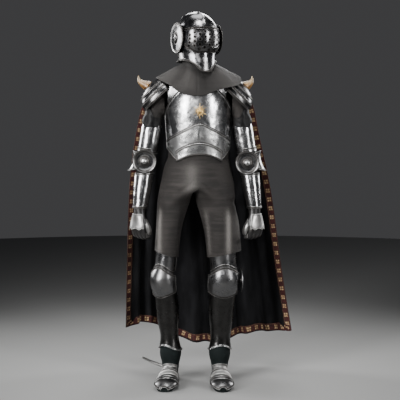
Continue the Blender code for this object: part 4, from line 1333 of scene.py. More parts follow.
@dataclass
class Helmet:
    """Skull, visor, bevor, neck guard and ear discs, turned to the wearer's left."""

    suit: Suit
    pivot: Point = (-0.002, 0.0, 0.231)
    yaw: float = 24.0
    half_width: float = 110.6
    radius: float = 136.0
    visor_reach: float = 72.0
    visor_grid: tuple[int, int] = (96, 48)
    breath_columns: int = 8
    breath_lines: int = 4
    breath_across: float = 13.0
    breath_down: float = 11.0
    breath_radius: float = 4.6
    sight_width: float = 22.0
    sight_rise: float = 14.5
    sight_size: tuple[float, float] = (30.0, 3.2)

    def point(self, x: float, y: float, z: float) -> Vector:
        """A point given from the pivot axis in the turned helmet's own frame, in millimetres.

        Args:
            x: towards the helmet's left.
            y: towards its back.
            z: up.

        Returns:
            The point in the scene, in metres.
        """
        turn = math.radians(self.yaw)
        across = x * math.cos(turn) - y * math.sin(turn)
        deep = x * math.sin(turn) + y * math.cos(turn)
        return Vector(self.pivot) + Vector((across, deep, z)) * MM

    def globe(self, rise: float, width: float, grow: float = 0.0) -> Vector:
        """A point of the visor's globe: rise 0 is the front and 90 the top.

        Args:
            rise: degrees up from the front.
            width: degrees to the side.
            grow: how far outside the globe, in millimetres.

        Returns:
            The point in metres.
        """
        lift, across = math.radians(rise), math.radians(width)
        reach = (self.radius + grow) * math.cos(across)
        side = (self.half_width + grow) * math.sin(across)
        return self.point(side, -reach * math.cos(lift), reach * math.sin(lift))

    def rise_at(self, width: float, upper: bool) -> float:
        """Rise of the visor's upper or lower edge at a width.

        Args:
            width: degrees to the side.
            upper: whether the upper edge is meant.

        Returns:
            The rise in degrees.
        """
        reach = self.radius * math.cos(math.radians(width))
        height = 47.0 - 9.0 * ease(abs(width), 10, 70) if upper else -76.0 + 40.0 * ease(abs(width), 20, 66)
        return math.degrees(math.asin(max(-0.78, min(0.78, height / reach))))

    def skull(self) -> None:
        """The bowl with its low comb and a roped brow edge."""
        Shell("helmet_skull", self.suit, 3).trim(Trim(Edges.ALL, roll=0.9)).build("helmet", 1.5)

    def bevor(self) -> None:
        """The chin defence with its rolled lower rim and rivets."""
        shell = Shell("helmet_bevor", self.suit, 2)
        shell.trim(Trim(Edges.BOTTOM, roll=3.0, studs=9, stud=2.8, studs_at=11), Trim(Edges.TOP, roll=1.4))
        shell.build("helmet", 1.5)

    def neck_guard(self) -> None:
        """The flared rim at the nape."""
        shell = Shell("helmet_neck_guard", self.suit, 2)
        shell.trim(Trim(Edges.BOTTOM, roll=2.6, studs=8, stud=2.8, studs_at=9)).build("helmet", 1.5)

    def visor(self) -> None:
        """The pierced face plate, the ears it turns on and its raised brow edge."""
        bm = bmesh.new()
        bmesh.ops.create_grid(bm, x_segments=self.visor_grid[0], y_segments=self.visor_grid[1], size=1.0)
        for vert in bm.verts:
            width = vert.co.x * self.visor_reach
            share = (1 - vert.co.y) / 2
            rise = self.rise_at(width, True) * (1 - share) + self.rise_at(width, False) * share
            vert.co = self.globe(rise, width)
        bmesh.ops.recalc_face_normals(bm, faces=bm.faces)
        middle = min(bm.faces, key=lambda face: (face.calc_center_median() - self.globe(0, 0)).length)
        if middle.normal.dot(self.globe(0, 0) - Vector(self.pivot)) < 0:
            bmesh.ops.reverse_faces(bm, faces=bm.faces)
        bm.normal_update()
        edge = [vert.co.copy() for loop in outlines(bm) for vert in loop]
        rolled = [point + (point - Vector(self.pivot)).normalized() * 1.5 * MM for point in edge]
        cutter = linked("breaths", bpy.data.meshes.new("breaths"))
        holes = bmesh.new()
        for column in range(self.breath_columns):
            width = self.breath_across * (column - (self.breath_columns - 1) / 2)
            for line in range(self.breath_lines):
                rise = 5 - self.breath_down * (line - column % 2 / 2)
                if rise > self.rise_at(width, False) + 5:
                    # The middle of each breath hole joins the outline, so that a ring of painted shade darkens
                    # the plate round the hole.
                    edge.append(self.breath(holes, width, rise, self.breath_radius, self.breath_radius))
        for side in SIDES.values():
            self.breath(holes, side * self.sight_width, self.sight_rise, *self.sight_size)
        holes.to_mesh(cutter.data)
        holes.free()
        bm = evaluated(bm, [
            ("SOLIDIFY", {"thickness": 1.5 * MM, "offset": -1.0}),
            ("BOOLEAN", {"operation": "DIFFERENCE", "object": cutter}),
        ])
        bpy.data.objects.remove(cutter)
        tube(bm, rolled, 2.0 * MM, True)
        for side in SIDES.values():
            self.ear(bm, side)
        brow = [self.globe(self.rise_at(w, True) - 3.4, w, 0.4) for w in range(-70, 71, 4)]
        tube(bm, brow, 1.1 * MM, False, 1)
        ridge = [
            self.globe(self.rise_at(w, False) + 15 - 5 * abs(w) / 60, w, 0.4) for w in range(-62, 63, 4)
        ]
        tube(bm, ridge, 1.5 * MM, False, 1)
        # Painted shade line along the visor's edge and round each breath hole.
        mark_rim(bm, edge)
        self.suit.piece("visor", bm, "helmet", "visor", sharp=35.0)

    def breath(self, bm: bmesh.types.BMesh, width: float, rise: float, long: float, high: float) -> Vector:
        """Adds one cutter that points out of the globe.

        Args:
            bm: the cutters.
            width: where it is across.
            rise: where it is up.
            long: half its length in millimetres.
            high: half its height in millimetres.

        Returns:
            The middle of the hole.
        """
        inner, outer = self.globe(rise, width, -12), self.globe(rise, width, 12)
        way = (outer - inner).normalized()
        level = way.cross(Vector((0, 0, 1))).normalized()
        basis = Matrix((level, way.cross(level), way)).transposed().to_4x4()
        size = Matrix.Diagonal((long * MM, high * MM, 1, 1))
        frame = Matrix.Translation((inner + outer) / 2) @ basis @ size
        bmesh.ops.create_cone(
            bm, cap_ends=True, segments=14, radius1=1, radius2=1, depth=(outer - inner).length, matrix=frame
        )
        return self.globe(rise, width)

    def pivot_frame(self, side: int, reach: float) -> Matrix:
        """A frame on the pivot axis, its Z out of the helmet.

        Args:
            side: 1 for the wearer's left and -1 for the right.
            reach: how far out from the helmet's middle, in millimetres.

        Returns:
            The frame.
        """
        turn = math.radians(self.yaw)
        way = Vector((side * math.cos(turn), side * math.sin(turn), 0))
        return along_axis(self.point(side * reach, 0, 0), way)

    def ear(self, bm: bmesh.types.BMesh, side: int) -> None:
        """Adds the ring of the visor that turns on a pivot.

        Args:
            bm: the visor's mesh.
            side: 1 for the wearer's left and -1 for the right.
        """
        profile = [(0.0, 5.5), (-2.0, 42.0), (-0.5, 42.5), (1.5, 5.5), (0.0, 5.5)]
        join(bm, turned(profile, self.pivot_frame(side, 106.3)))

    def ear_disc(self, side_name: str) -> None:
        """A large dished disc with a rolled rim, a boss and a ring of studs.

        Args:
            side_name: left or right.
        """
        profile = [
            (12.0, 0.0), (11.6, 4.0), (10.0, 6.5), (8.6, 9.0), (8.0, 19.0), (6.6, 21.5), (2.4, 25.0),
            (1.6, 30.0), (0.2, 42.0), (-1.6, 55.0), (-3.6, 66.0), (-4.2, 70.0), (-3.4, 72.0), (-2.4, 74.0),
            (-3.0, 76.4),
            (-5.0, 77.4), (-7.0, 76.6), (-7.8, 74.4), (-7.0, 72.0), (-6.2, 68.0), (-3.0, 45.0), (-1.0, 22.0),
            (-1.0, 5.0), (-13.0, 5.0), (-13.0, 0.0),
        ]
        frame = self.pivot_frame(SIDES[side_name], 112.0)
        bm = turned(profile, frame, 72)
        for index in range(12):
            turn = 2 * math.pi * index / 12
            spot = Vector((math.cos(turn) * 61 * MM, math.sin(turn) * 61 * MM, -2.7 * MM))
            rivet(bm, frame @ spot, frame.to_3x3() @ Vector((0, 0, 1)), 2.6 * MM)
        mark_disc(bm, frame, (72, 23), 0.15, 73, 10)
        self.suit.piece(f"helmet_ear_disc_{side_name}", bm, "ear")

    def build(self) -> None:
        """Makes the helmet."""
        self.skull()
        self.bevor()
        self.neck_guard()
        self.visor()
        for side_name in SIDES:
            self.ear_disc(side_name)


@dataclass
class Cuirass:
    """Breast and back, the two belly plates and the gilt sun."""

    suit: Suit
    wall: float = 1.5
    middle: Callable[[float], Point] = upright(0.0065)
    gusset_x: float = 143.0 * MM
    gusset_low: float = 1298.0
    gusset_high: float = 1475.0
    front: BVHTree | None = None

    def breastplate(self) -> None:
        """The breast with its turned edges at neck and arms."""
        shell = Shell("breastplate", self.suit, 3)
        shell.crease([Crease(0, 1345, 0, 1248, 2.4, 30, True)], self.middle)
        self.front = BVHTree.FromBMesh(shell.face)
        shell.trim(
            Trim(Edges.TOP, roll=3.4, line=1.1, line_at=11), Trim(Edges.ENDS, roll=1.8, line=1.0, line_at=10)
        )
        self.gussets(shell)
        # Painted shade: a dark line on the breast beside the upper belly plate's edge.
        shell.build("bright", self.wall, shade_from=["belly_plate_upper"])

    def gussets(self, shell: Shell) -> None:
        """The narrow plate that slides behind each armhole edge of the breast.

        Args:
            shell: the breast, before its wall is made.
        """
        bm = bmesh.new()
        rims = []
        for run, loop, _ in shell.runs(Edges.ALL):
            for side in SIDES.values():
                rows = []
                for index in run:
                    vert = loop[index]
                    height = (vert.co.z - SOLE_Z) / MM
                    across = vert.co.x * side
                    beside = 60 * MM < across < self.gusset_x - 3 * MM
                    if beside and self.gusset_low < height < self.gusset_high:
                        base = vert.co + shell.inward(loop, index) * 5 * MM - vert.normal * 2.6 * MM
                        back = 9 * MM + (self.gusset_x - across) * 0.3
                        tip = Vector((side * self.gusset_x, vert.co.y + back, vert.co.z))
                        rows.append((height, base, tip))
                rows.sort(key=lambda row: row[0])
                verts = [(bm.verts.new(base), bm.verts.new(tip)) for _, base, tip in rows]
                for (a, b), (c, d) in zip(verts, verts[1:]):
                    bm.faces.new((a, b, d, c))
                rims.append([tip for _, _, tip in rows])
        bmesh.ops.recalc_face_normals(bm, faces=bm.faces)
        bm = evaluated(bm, [("SOLIDIFY", {"thickness": 1.4 * MM, "offset": 0.0})])
        for rim in rims:
            tube(bm, rim, 1.7 * MM, False)
        self.suit.piece("armhole_gussets", bm, "arm", packed=False)

    def backplate(self) -> None:
        """The back with its turned edges."""
        shell = Shell("backplate", self.suit, 3)
        shell.trim(Trim(Edges.TOP, roll=3.4, line=1.1, line_at=11), Trim(Edges.BOTTOM, roll=3.0))
        shell.build("bright", self.wall)

    def belly(self) -> None:
        """The two plates over the belly, with their rolled edges and end rivets."""
        upper = Shell("belly_plate_upper", self.suit, 3)
        upper.crease([Crease(0, 1272, 0, 1190, 6.5, 20, True)], self.middle)
        upper.trim(
            Trim(Edges.TOP, roll=2.2, line=1.0, line_at=9),
            Trim(Edges.BOTTOM, roll=2.0),
            Trim(Edges.ENDS, roll=1.6),
        )
        upper.studs([(-76, 1192), (76, 1192), (-76, 1176), (76, 1176)], 3.4, self.middle)
        lower = Shell("belly_plate_lower", self.suit, 3)
        lower.trim(
            Trim(Edges.TOP, roll=1.8, line=0.9, line_at=8),
            Trim(Edges.BOTTOM, roll=3.4),
            Trim(Edges.ENDS, roll=2.4),
        )
        lower.studs([(-40, 1136), (40, 1136)], 3.4, self.middle)
        lower.build("belly", self.wall)
        # Painted shade: a dark line on the upper belly plate beside the lower plate's edge.
        upper.build("belly", self.wall, shade_from=["belly_plate_lower"])

    def sun(self) -> None:
        """The gilt sun: a plain domed boss, a beaded ring and long and short rays."""
        low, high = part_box("sun_boss")
        centre = Vector(((low.x + high.x) / 2, high.y, (low.z + high.z) / 2))
        bm = bmesh.new()
        for index in range(24):
            turn = 2 * math.pi * index / 24
            length, width = ((38, 6.6), (25, 4.6), (31, 5.8), (25, 4.6))[index % 4]
            stretch = Matrix.Diagonal((width * MM, 2.0 * MM, length * MM / 2, 1))
            spin = Matrix.Rotation(turn, 4, "Y")
            shift = Matrix.Translation((0, 0, length * MM / 2))
            ray = spin @ shift @ stretch
            bmesh.ops.create_cone(
                bm, cap_ends=True, segments=4, radius1=0.6, radius2=0.03, depth=2.0, matrix=ray
            )
        dome = Matrix.Diagonal((11.5 * MM, 7.0 * MM, 11.5 * MM, 1))
        bmesh.ops.create_icosphere(bm, subdivisions=4, radius=1.0, matrix=dome)

        def spot(reach: float, turn: float, rise: float) -> Vector:
            """A point round the boss, in millimetres from its middle.

            Args:
                reach: distance from the middle.
                turn: angle from the top, in radians.
                rise: how far towards the front it is, negative outwards.

            Returns:
                The point in metres.
            """
            return Vector((reach * math.sin(turn), rise, reach * math.cos(turn))) * MM

        tube(bm, [spot(13, k * math.pi / 18, -1.2) for k in range(36)], 1.5 * MM, True, 1)
        for k in range(12):
            bead = Matrix.Translation(spot(17, math.pi * (k + 0.5) / 6, -1.6))
            bmesh.ops.create_icosphere(bm, subdivisions=2, radius=1.4 * MM, matrix=bead)
        for vert in bm.verts:
            flat = centre + Vector((vert.co.x, 0, vert.co.z))
            hit = self.front.ray_cast(flat + Vector((0, -0.1, 0)), Vector((0, 1, 0)))[0]
            surface = hit.y if hit else centre.y
            vert.co = Vector((flat.x, surface - 0.6 * MM + min(vert.co.y, 0.4 * MM), flat.z))
        self.suit.piece("sun_boss", bm, "gilt")

    def build(self) -> None:
        """Makes the cuirass."""
        self.belly()
        self.breastplate()
        self.backplate()
        self.sun()


@dataclass
class MailPieces:
    """The mantle, the two sleeves and the breeches, each a draped sheet of rings."""

    suit: Suit
    wall: float = 1.6
    left_x: float = 0.118
    right_x: float = -0.138
    fork_z: float = -0.475

    def mantle(self) -> None:
        """The mantle, its front in two halves over a short slit."""
        shell = Shell("mail_mantle", self.suit, 3)
        folds = [
            Crease(-38, 1560, -46, 1470, -4.0, 13), Crease(-20, 1540, -24, 1450, 2.4, 10),
            Crease(22, 1545, 26, 1455, -3.6, 12), Crease(40, 1556, 47, 1480, 2.6, 12),
            Crease(140, 1560, 146, 1470, -4, 14), Crease(-150, 1560, -152, 1465, -4, 14),
            Crease(178, 1560, 176, 1460, 2.5, 12), Crease(1, 1548, 2, 1424, -2.6, 5),
        ]
        shell.crease(folds, upright(0.0))
        shell.trim(Trim(Edges.LONGEST, roll=1.5))
        # Painted sheen: bright bands laid into the mantle's colour.
        shine = self.shine([(-30, 0.13, 26), (62, 0.12, 18), (-70, 0.1, 20)], 0.0, -0.06, 0.12)
        cloth = shell.build("mantle", self.wall, {"painted_light": shine}, Wrap(0.0, 0.0, 0.13, cone=True))

    def sleeve(self, side_name: str) -> None:
        """A sleeve, which shows at the armpit.

        Args:
            side_name: left or right.
        """
        side = SIDES[side_name]
        shell = Shell(f"mail_sleeve_{side_name}", self.suit, 2)
        folds = [
            Crease(side * turn, 1360 - 14 * k, side * (turn + 50), 1340 - 16 * k, -2.0, 7)
            for k, turn in enumerate((-80, -70, -60))
        ]
        shell.crease(folds, upright(side * 0.22))
        cloth = shell.build("mail", self.wall, uv=Wrap(side * 0.24, 0.0, 0.05))

    def breeches(self) -> None:
        """The breeches, with creases from the fork and over the thighs."""
        shell = Shell("mail_breeches", self.suit, 3)
        folds = [
            Crease(-4, 1010, -40, 940, -4.0, 12), Crease(4, 1008, 38, 930, -4.0, 12),
            Crease(-6, 1060, 30, 1050, 2.0, 14), Crease(-20, 985, -62, 965, 2.6, 12),
            Crease(20, 985, 58, 950, 2.6, 12), Crease(60, 905, 95, 890, -5.0, 12),
            Crease(64, 930, 100, 925, 3.0, 12), Crease(160, 1000, 130, 940, -4.0, 14),
            Crease(-160, 1000, -130, 940, -4, 14),
        ]
        shell.crease(folds, upright(0.0))
        low = [
            Crease(-30, 860, -34, 700, 2.2, 12), Crease(20, 840, 12, 700, -2.4, 12),
            Crease(-70, 790, -20, 770, -1.8, 9), Crease(-60, 740, 10, 725, 1.6, 8),
            Crease(150, 860, 170, 720, -2.6, 14),
        ]
        shell.crease(low, upright(self.left_x))
        mirrored = [replace(fold, turn_a=-fold.turn_a, turn_b=-fold.turn_b) for fold in low]
        shell.crease(mirrored, upright(self.right_x))
        shell.trim(Trim(Edges.BOTTOM, roll=1.4))
        # Painted highlight: bright bands on the thighs and hips, where the plates under the rings would shine
        # through.
        left = self.shine([(24, 0.6, 9), (-46, 0.28, 9)], self.left_x, -0.86, -0.60)
        right = self.shine([(-36, 0.5, 11)], self.right_x, -0.86, -0.60)
        upper = self.shine([(-12, 0.3, 16)], 0.0, -0.56, -0.37)

        def painted_light(point: Vector) -> float:
            """How much painted highlight lies on the rings, where the plates under them would shine through.
            """
            return max(upper(point), left(point) if point.x > -0.01 else right(point))

        legs_map = Wrap(0.0, 0.0, 0.15, fork_z=self.fork_z, legs=(self.right_x, self.left_x))
        cloth = shell.build("mail", self.wall, {"painted_light": painted_light}, legs_map)

    @staticmethod
    def shine(
        bands: Sequence[tuple[float, float, float]], x: float, low: float, high: float
    ) -> Callable[[Vector], float]:
        """Bands of painted light on the rings, laid where a form under them would light them.

        Args:
            bands: azimuth, strength and half width in degrees of each band.
            x: the form's middle.
            low: lowest height in metres.
            high: highest height.

        Returns:
            The painted light at a point.
        """
        fade = 0.05

        def painted_light(point: Vector) -> float:
            """The strongest band at a point, faded at both ends of the height.

            Args:
                point: the point.

            Returns:
                The painted light, from 0 to 1.
            """
            turn = math.degrees(math.atan2(point.x - x, -point.y))
            rise = max(0.0, min((point.z - low) / fade, (high - point.z) / fade, 1.0))
            return rise * max(power * math.exp(-(((turn - at) / width) ** 2)) for at, power, width in bands)

        return painted_light

    def build(self) -> None:
        """Makes the mail."""
        self.mantle()
        for side_name in SIDES:
            self.sleeve(side_name)
        self.breeches()


@dataclass
class Shoulders:
    """Pauldrons in three plates, their horns, and the leather flap that hangs from each."""

    suit: Suit
    wall: float = 1.5
    flap_drop: float = 24.0
    flap_height: float = 36.0

    def pauldron(self, side_name: str) -> None:
        """Cap and two lames, each with a double rolled lower edge.

        Args:
            side_name: left or right.
        """
        for label, roll in (("cap", 2.4), ("lame_1", 2.6), ("lame_2", 3.0)):
            shell = Shell(f"pauldron_{label}_{side_name}", self.suit, 2)
            shell.trim(Trim(Edges.LONGEST, roll=roll, line=1.3, line_at=8.5))
            shell.build("shoulder", self.wall)

    def horn(self, side_name: str) -> None:
        """The horn on the cap.

        Args:
            side_name: left or right.
        """
        self.suit.rounded(f"horn_{side_name}", "horn", 2)

    def flap(self, side_name: str) -> None:
        """The leather flap, puckered and rolled at its hem.

        Args:
            side_name: left or right.
        """
        side = SIDES[side_name]
        shell = Shell(f"shoulder_flap_{side_name}", self.suit, 3)
        puckers = ((-64, 1.8), (-34, -2.0), (-4, 2.4), (30, -2.0), (62, 2.2), (100, -1.8), (140, 2.0))
        folds = [
            Crease(side * turn, 1326, side * (turn + 12), 1286, depth, 11) for turn, depth in puckers
        ]
        shell.crease(folds, upright(side * 0.222))
        shell.trim(Trim(Edges.BOTTOM, roll=2.0))
        shell.slant_top(side, self.flap_drop, self.flap_height)
        shell.build("leather", 2.0)

    def build(self) -> None:
        """Makes both shoulders."""
        for side_name in SIDES:
            self.pauldron(side_name)
            self.horn(side_name)
            self.flap(side_name)


@dataclass
class Arms:
    """Cannons, elbow lames, couters and their discs, gauntlets and gloves."""

    suit: Suit
    wall: float = 1.5
    thumb_reach: float = 26.0
    thumb_low: float = 722.0
    thumb_high: float = 816.0
    thumb_wall: float = 1.2
    thumb_lift: float = 0.8
    thumb_least: float = 4e-4

    def plates(self, side_name: str) -> None:
        """The closed plates of one arm.

        Args:
            side_name: left or right.
        """
        trims = {
            "upper_cannon": (Trim(Edges.BOTTOM, roll=2.0),),
            "elbow_lame": (Trim(Edges.BOTTOM, roll=1.8), Trim(Edges.TOP, roll=1.8)),
            "couter": (Trim(Edges.ALL, roll=2.4),),
            "lower_cannon": (Trim(Edges.BOTTOM, roll=2.6, line=1.0, line_at=8), Trim(Edges.TOP, roll=1.8)),
            "gauntlet_plate": (Trim(Edges.ALL, roll=1.6), Trim(Edges.ENDS, studs=3, stud=2.2, studs_at=6)),
        }
        for label, trim in trims.items():
            finish = "satin" if label == "gauntlet_plate" else "arm"
            Shell(f"{label}_{side_name}", self.suit, 2).trim(*trim).build(finish, self.wall)

    def disc(self, side_name: str) -> None:
        """The elbow disc with its stepped boss and rolled rim.

        Args:
            side_name: left or right.
        """
        name = f"elbow_disc_{side_name}"
        low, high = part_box(name)
        centre = Vector(((low.x + high.x) / 2, low.y, (low.z + high.z) / 2))
        deep = (high.y - low.y) / MM
        profile = [
            (0.0, 0.0), (-0.3, 3.0), (-1.6, 6.4), (-3.4, 8.0), (-3.8, 12.0), (-5.0, 15.0), (-7.2, 17.0),
            (-9.6, 19.0),
            (-10.6, 24.0), (-11.0, 34.0), (-10.2, 44.0), (-8.4, 51.0), (-6.2, 54.0), (-5.0, 56.5),
            (-5.6, 58.8), (-7.6, 59.8), (-9.6, 59.0), (-10.6, 56.6), (-11.2, 53.0), (-12.8, 44.0),
            (-13.4, 30.0), (-13.4, 7.0), (-deep, 6.8), (-deep, 0.0),
        ]
        frame = along_axis(centre, Vector((0, -1, 0)))
        bm = turned(profile, frame, 64)
        mark_disc(bm, frame, (53, 21), 0.4, 55, 16)
        self.suit.piece(name, bm, "disc")

    def thumb_plate(self, side_name: str) -> None:
        """The plate round the thumb.

        Args:
            side_name: left or right.
        """
        side = SIDES[side_name]
        bm = edges_kept(self.suit.nodes[f"glove_{side_name}"], 1)
        low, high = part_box(f"glove_{side_name}")
        inner = low.x if side > 0 else high.x
        cuts = (
            (Vector((inner + side * self.thumb_reach * MM, 0, 0)), Vector((side, 0, 0))),
            (Vector((0, 0, SOLE_Z + self.thumb_low * MM)), Vector((0, 0, -1))),
            (Vector((inner, 0, SOLE_Z + self.thumb_high * MM)), Vector((0, 0, 1))),
        )
        for spot, way in cuts:
            whole = list(bm.verts) + list(bm.edges) + list(bm.faces)
            bmesh.ops.bisect_plane(bm, geom=whole, plane_co=spot, plane_no=way, clear_outer=True)
        bm.normal_update()
        groups = [group for group in islands(bm) if sum(face.calc_area() for face in group) > self.thumb_least]
        kept = {face for group in groups for face in group}
        bmesh.ops.delete(bm, geom=[face for face in bm.faces if face not in kept], context="FACES")
        for vert in bm.verts:
            vert.co += vert.normal * self.thumb_lift * MM
        rims = [[vert.co + vert.normal * self.thumb_lift * MM for vert in loop] for loop in outlines(bm)]
        bm = evaluated(bm, [("SOLIDIFY", {"thickness": self.thumb_wall * MM, "offset": 1.0})])
        for rim in rims:
            if len(rim) > 6:
                tube(bm, rim, 1.1 * MM, True, 1)
        self.suit.piece(f"thumb_plate_{side_name}", bm, "satin", packed=False)

    def build(self) -> None:
        """Makes both arms."""
        for side_name in SIDES:
            self.plates(side_name)
            self.disc(side_name)
            self.suit.rounded(f"glove_{side_name}", "glove")
            self.thumb_plate(side_name)


@dataclass
class Legs:
    """Cuisses, knee plates and greaves."""

    suit: Suit
    wall: float = 1.5

    def plates(self, side_name: str) -> None:
        """The plates of one leg.

        Args:
            side_name: left or right.
        """
        cup = (
            Trim(Edges.TOP, roll=2.6, line=1.2, line_at=8),
            Trim(Edges.BOTTOM, roll=2.4),
            Trim(Edges.ENDS, roll=2.0),
        )
        trims = {
            "cuisse": ("leg", (Trim(Edges.ENDS, roll=1.8),)),
            "knee_lame": ("leg", (Trim(Edges.TOP, roll=2.0), Trim(Edges.BOTTOM, roll=1.4))),
            "knee_cup": ("leg", cup),
            "greave": ("dark", (Trim(Edges.TOP, roll=1.8),)),
        }
        for label, (finish, trim) in trims.items():
            shell = Shell(f"{label}_{side_name}", self.suit, 2)
            if label == "greave":
                self.greave_rim(side_name, shell)
            shell.trim(*trim).build(finish, self.wall)

    def greave_rim(self, side_name: str, shell: Shell) -> None:
        """The bright flared rim at a greave's foot.

        Args:
            side_name: left or right.
            shell: the greave, before its wall is made.
        """
        bm = bmesh.new()
        for run, loop, closed in shell.runs(Edges.BOTTOM):
            for roll, out, up in ((2.8, 1.6, 0.5), (1.6, 0.4, 5.5)):
                points = [
                    loop[i].co + loop[i].normal * out * MM + shell.inward(loop, i) * up * MM for i in run
                ]
                tube(bm, points, roll * MM, closed)
        self.suit.piece(f"greave_rim_{side_name}", bm, "bright", packed=False)

    def build(self) -> None:
        """Makes both legs."""
        for side_name in SIDES:
            self.plates(side_name)
        self.suit.rounded("knee_wing_left", "bright")


@dataclass
class Feet:
    """Boots, the plates over them and the spur."""

    suit: Suit
    lames: tuple[float, ...] = (0.36, 0.52, 0.68, 0.84)
    # Where along the toe its rear lames begin to be painted bright, and over what distance.
    highlight_from: float = 0.56
    highlight_fade: float = 0.012
    neck_x: float = -0.14
    neck_grow: float = 3.6

    def foot(self, side_name: str) -> None:
        """One boot and its plates.

        Args:
            side_name: left or right.
        """
        Shell(f"boot_{side_name}", self.suit, 2).build("boot", 2.0)
        instep = Shell(f"sabaton_instep_{side_name}", self.suit, 2)
        instep.trim(Trim(Edges.ALL, roll=1.8)).build("satin", 1.5)
        toe = Shell(f"sabaton_toe_{side_name}", self.suit, 2)
        low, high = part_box(f"sabaton_toe_{side_name}")
        for share in self.lames:
            toe.band(Vector(((low.x + high.x) / 2, low.y + (high.y - low.y) * share, low.z)), 0.14, 1.7)
        toe.trim(Trim(Edges.ALL, roll=1.8))
        # Painted highlight: the worn value paints the rear lames of the toe bright, as if lit from above.
        back = low.y + (high.y - low.y) * self.highlight_from
        toe.build("leg", 1.5, {"worn": lambda point: min(1.0, max(0.0, (point.y - back) / self.highlight_fade))})

    def spur(self) -> None:
        """The right spur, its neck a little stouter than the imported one."""
        bm = packed_copy(self.suit.nodes["spur_right"])
        bm.normal_update()
        neck = [(vert, vert.normal.copy()) for vert in bm.verts if vert.co.x < self.neck_x]
        for vert, normal in neck:
            vert.co += normal * self.neck_grow * MM
        self.suit.piece("spur_right", smoothed(bm, 1), "satin")

    def build(self) -> None:
        """Makes both feet."""
        for side_name in SIDES:
            self.foot(side_name)
        self.spur()


@dataclass
class Cape:
    """The velvet cape and the woven border on its inner face."""

    suit: Suit
    wall: float = 2.0
    border_wall: float = 1.2

    def build(self) -> None:
        """Makes the cape and its border."""
        shell = Shell("cape", self.suit, 2, (0, 1, 0))
        line = self.outer_line([vert.co.copy() for vert in outlines(shell.face)[0]])
        cloth = shell.build("velvet", self.wall)
        band = Shell("cape_border", self.suit, 2, (0, -1, 0))
        border = band.build("braid", self.border_wall, uv=lambda point: self.along(line, point))

    @staticmethod
    def outer_line(edge: list[Vector]) -> list[Vector]:
        """The cape's outline down one front edge, round the hem and up the other.

        Args:
            edge: the whole outline.

        Returns:
            The part of it that the border follows.
        """
        top_left = max(range(len(edge)), key=lambda i: edge[i].z * 4 + edge[i].x)
        turned = edge[top_left:] + edge[:top_left]
        if turned[8].z > turned[-8].z:
            turned = [turned[0], *reversed(turned[1:])]
        top_right = max(range(len(turned)), key=lambda i: turned[i].z * 4 - turned[i].x)
        return turned[: top_right + 1]

    def along(self, line: list[Vector], point: Vector) -> tuple[float, float]:
        """Distance along the outline and away from it, in metres.

        Args:
            line: the outline.
            point: a point of the border.

        Returns:
            The two distances.
        """
        best, total, result = 1e9, 0.0, (0.0, 0.0)
        for a, b in zip(line, line[1:]):
            way = b - a
            length = way.length
            share = min(1.0, max(0.0, (point - a).dot(way) / max(length * length, 1e-12)))
            gap = (point - a - way * share).length
            if gap < best:
                best, result = gap, (total + share * length, gap)
            total += length
        return result


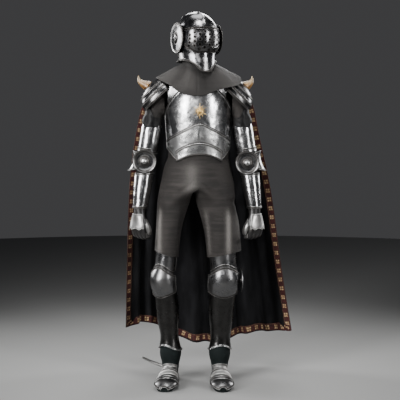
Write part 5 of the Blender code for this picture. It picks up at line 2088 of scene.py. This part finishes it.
@dataclass
class Studio:
    """Pale floor, soft lamps and the camera at the photo's angle."""

    backdrop: Colour = (0.052, 0.052, 0.054)
    around: Colour = (0.032, 0.033, 0.036)
    floor_colour: Colour = (0.23, 0.23, 0.226)
    floor_radius: float = 7.0
    spread: float = math.radians(72)
    lens: float = 90.0
    sensor: float = 36.0
    shift: tuple[float, float] = (0.0075, -0.1725)
    eye: Point = (0.0, -5.0, -0.23)

    def lamp(self, name: str, place: Point, aim: Point, size: tuple[float, float], power: float) -> None:
        """Adds a soft rectangular lamp.

        Args:
            name: its name.
            place: where it stands.
            aim: what it points at.
            size: its width and height in metres.
            power: watts.
        """
        data = bpy.data.lights.new(name, "AREA")
        data.shape = "RECTANGLE"
        data.size, data.size_y = size
        data.energy = power
        data.spread = self.spread
        obj = linked(name, data)
        obj.location = place
        obj.rotation_euler = (Vector(aim) - Vector(place)).to_track_quat("-Z", "Y").to_euler()

    def floor(self) -> None:
        """Adds the pale floor."""
        bm = bmesh.new()
        level = Matrix.Translation((0, 0, SOLE_Z))
        bmesh.ops.create_circle(bm, cap_ends=True, segments=96, radius=self.floor_radius, matrix=level)
        mesh = bpy.data.meshes.new("floor")
        bm.to_mesh(mesh)
        bm.free()
        shader = Shader("pale_floor", {"Roughness": 0.85, "Base Color": (*self.floor_colour, 1.0)})
        mesh.materials.append(shader.material)
        linked("floor", mesh)

    def camera(self) -> None:
        """Adds the camera."""
        data = bpy.data.cameras.new("camera")
        data.lens = self.lens
        data.sensor_width = self.sensor
        data.shift_x, data.shift_y = self.shift
        obj = linked("camera", data)
        obj.location = self.eye
        obj.rotation_euler = (math.radians(90), 0, 0)
        bpy.context.scene.camera = obj

    def world(self) -> None:
        """Sets a grey backdrop and a darker surround, so that the plates keep dark edges."""
        world = bpy.data.worlds.new("studio")
        world.use_nodes = True
        tree = world.node_tree
        shown = tree.nodes.new("ShaderNodeLightPath").outputs["Is Camera Ray"]
        mix = tree.nodes.new("ShaderNodeMix")
        mix.data_type = "RGBA"
        mix.inputs[6].default_value = (*self.around, 1.0)
        mix.inputs[7].default_value = (*self.backdrop, 1.0)
        tree.links.new(shown, mix.inputs[0])
        tree.links.new(mix.outputs[2], tree.nodes["Background"].inputs["Color"])
        bpy.context.scene.world = world

    def build(self) -> None:
        """Sets up the studio."""
        self.floor()
        self.camera()
        self.world()
        lamps = (
            ("key", (-2.7, -3.0, 0.7), (0, 0, -0.25), (1.4, 3.0), 62),
            ("fill", (2.8, -2.6, 0.5), (0, 0, -0.25), (0.6, 2.8), 21),
            ("top", (0.0, 0.9, 2.7), (0, 0, 0), (2.0, 1.4), 7),
            ("feet", (0.0, -1.0, 2.3), (0, -0.1, -1.2), (1.2, 0.7), 13),
            ("front", (-0.9, -6.0, 1.5), (0, 0, -0.2), (2.4, 1.6), 9),
            ("rim_right_side", (-3.0, 1.5, 0.8), (0, 0, -0.2), (1.0, 2.4), 34),
            ("rim_left_side", (3.0, 1.7, 0.8), (0, 0, -0.2), (1.0, 2.4), 24),
            ("back", (0.6, 3.6, 1.6), (0, 0, -0.3), (2.0, 1.6), 18),
        )
        for lamp in lamps:
            self.lamp(*lamp)


def main() -> None:
    """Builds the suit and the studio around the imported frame."""
    logging.basicConfig(level=logging.INFO, format="%(message)s")
    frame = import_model()
    suit = Suit(frame)
    for kind in (Helmet, Cuirass, MailPieces, Shoulders, Arms, Legs, Feet, Cape):
        kind(suit).build()
        LOG.info("built %s", kind.__name__)
    Studio().build()


if __name__ == "__main__":
    main()
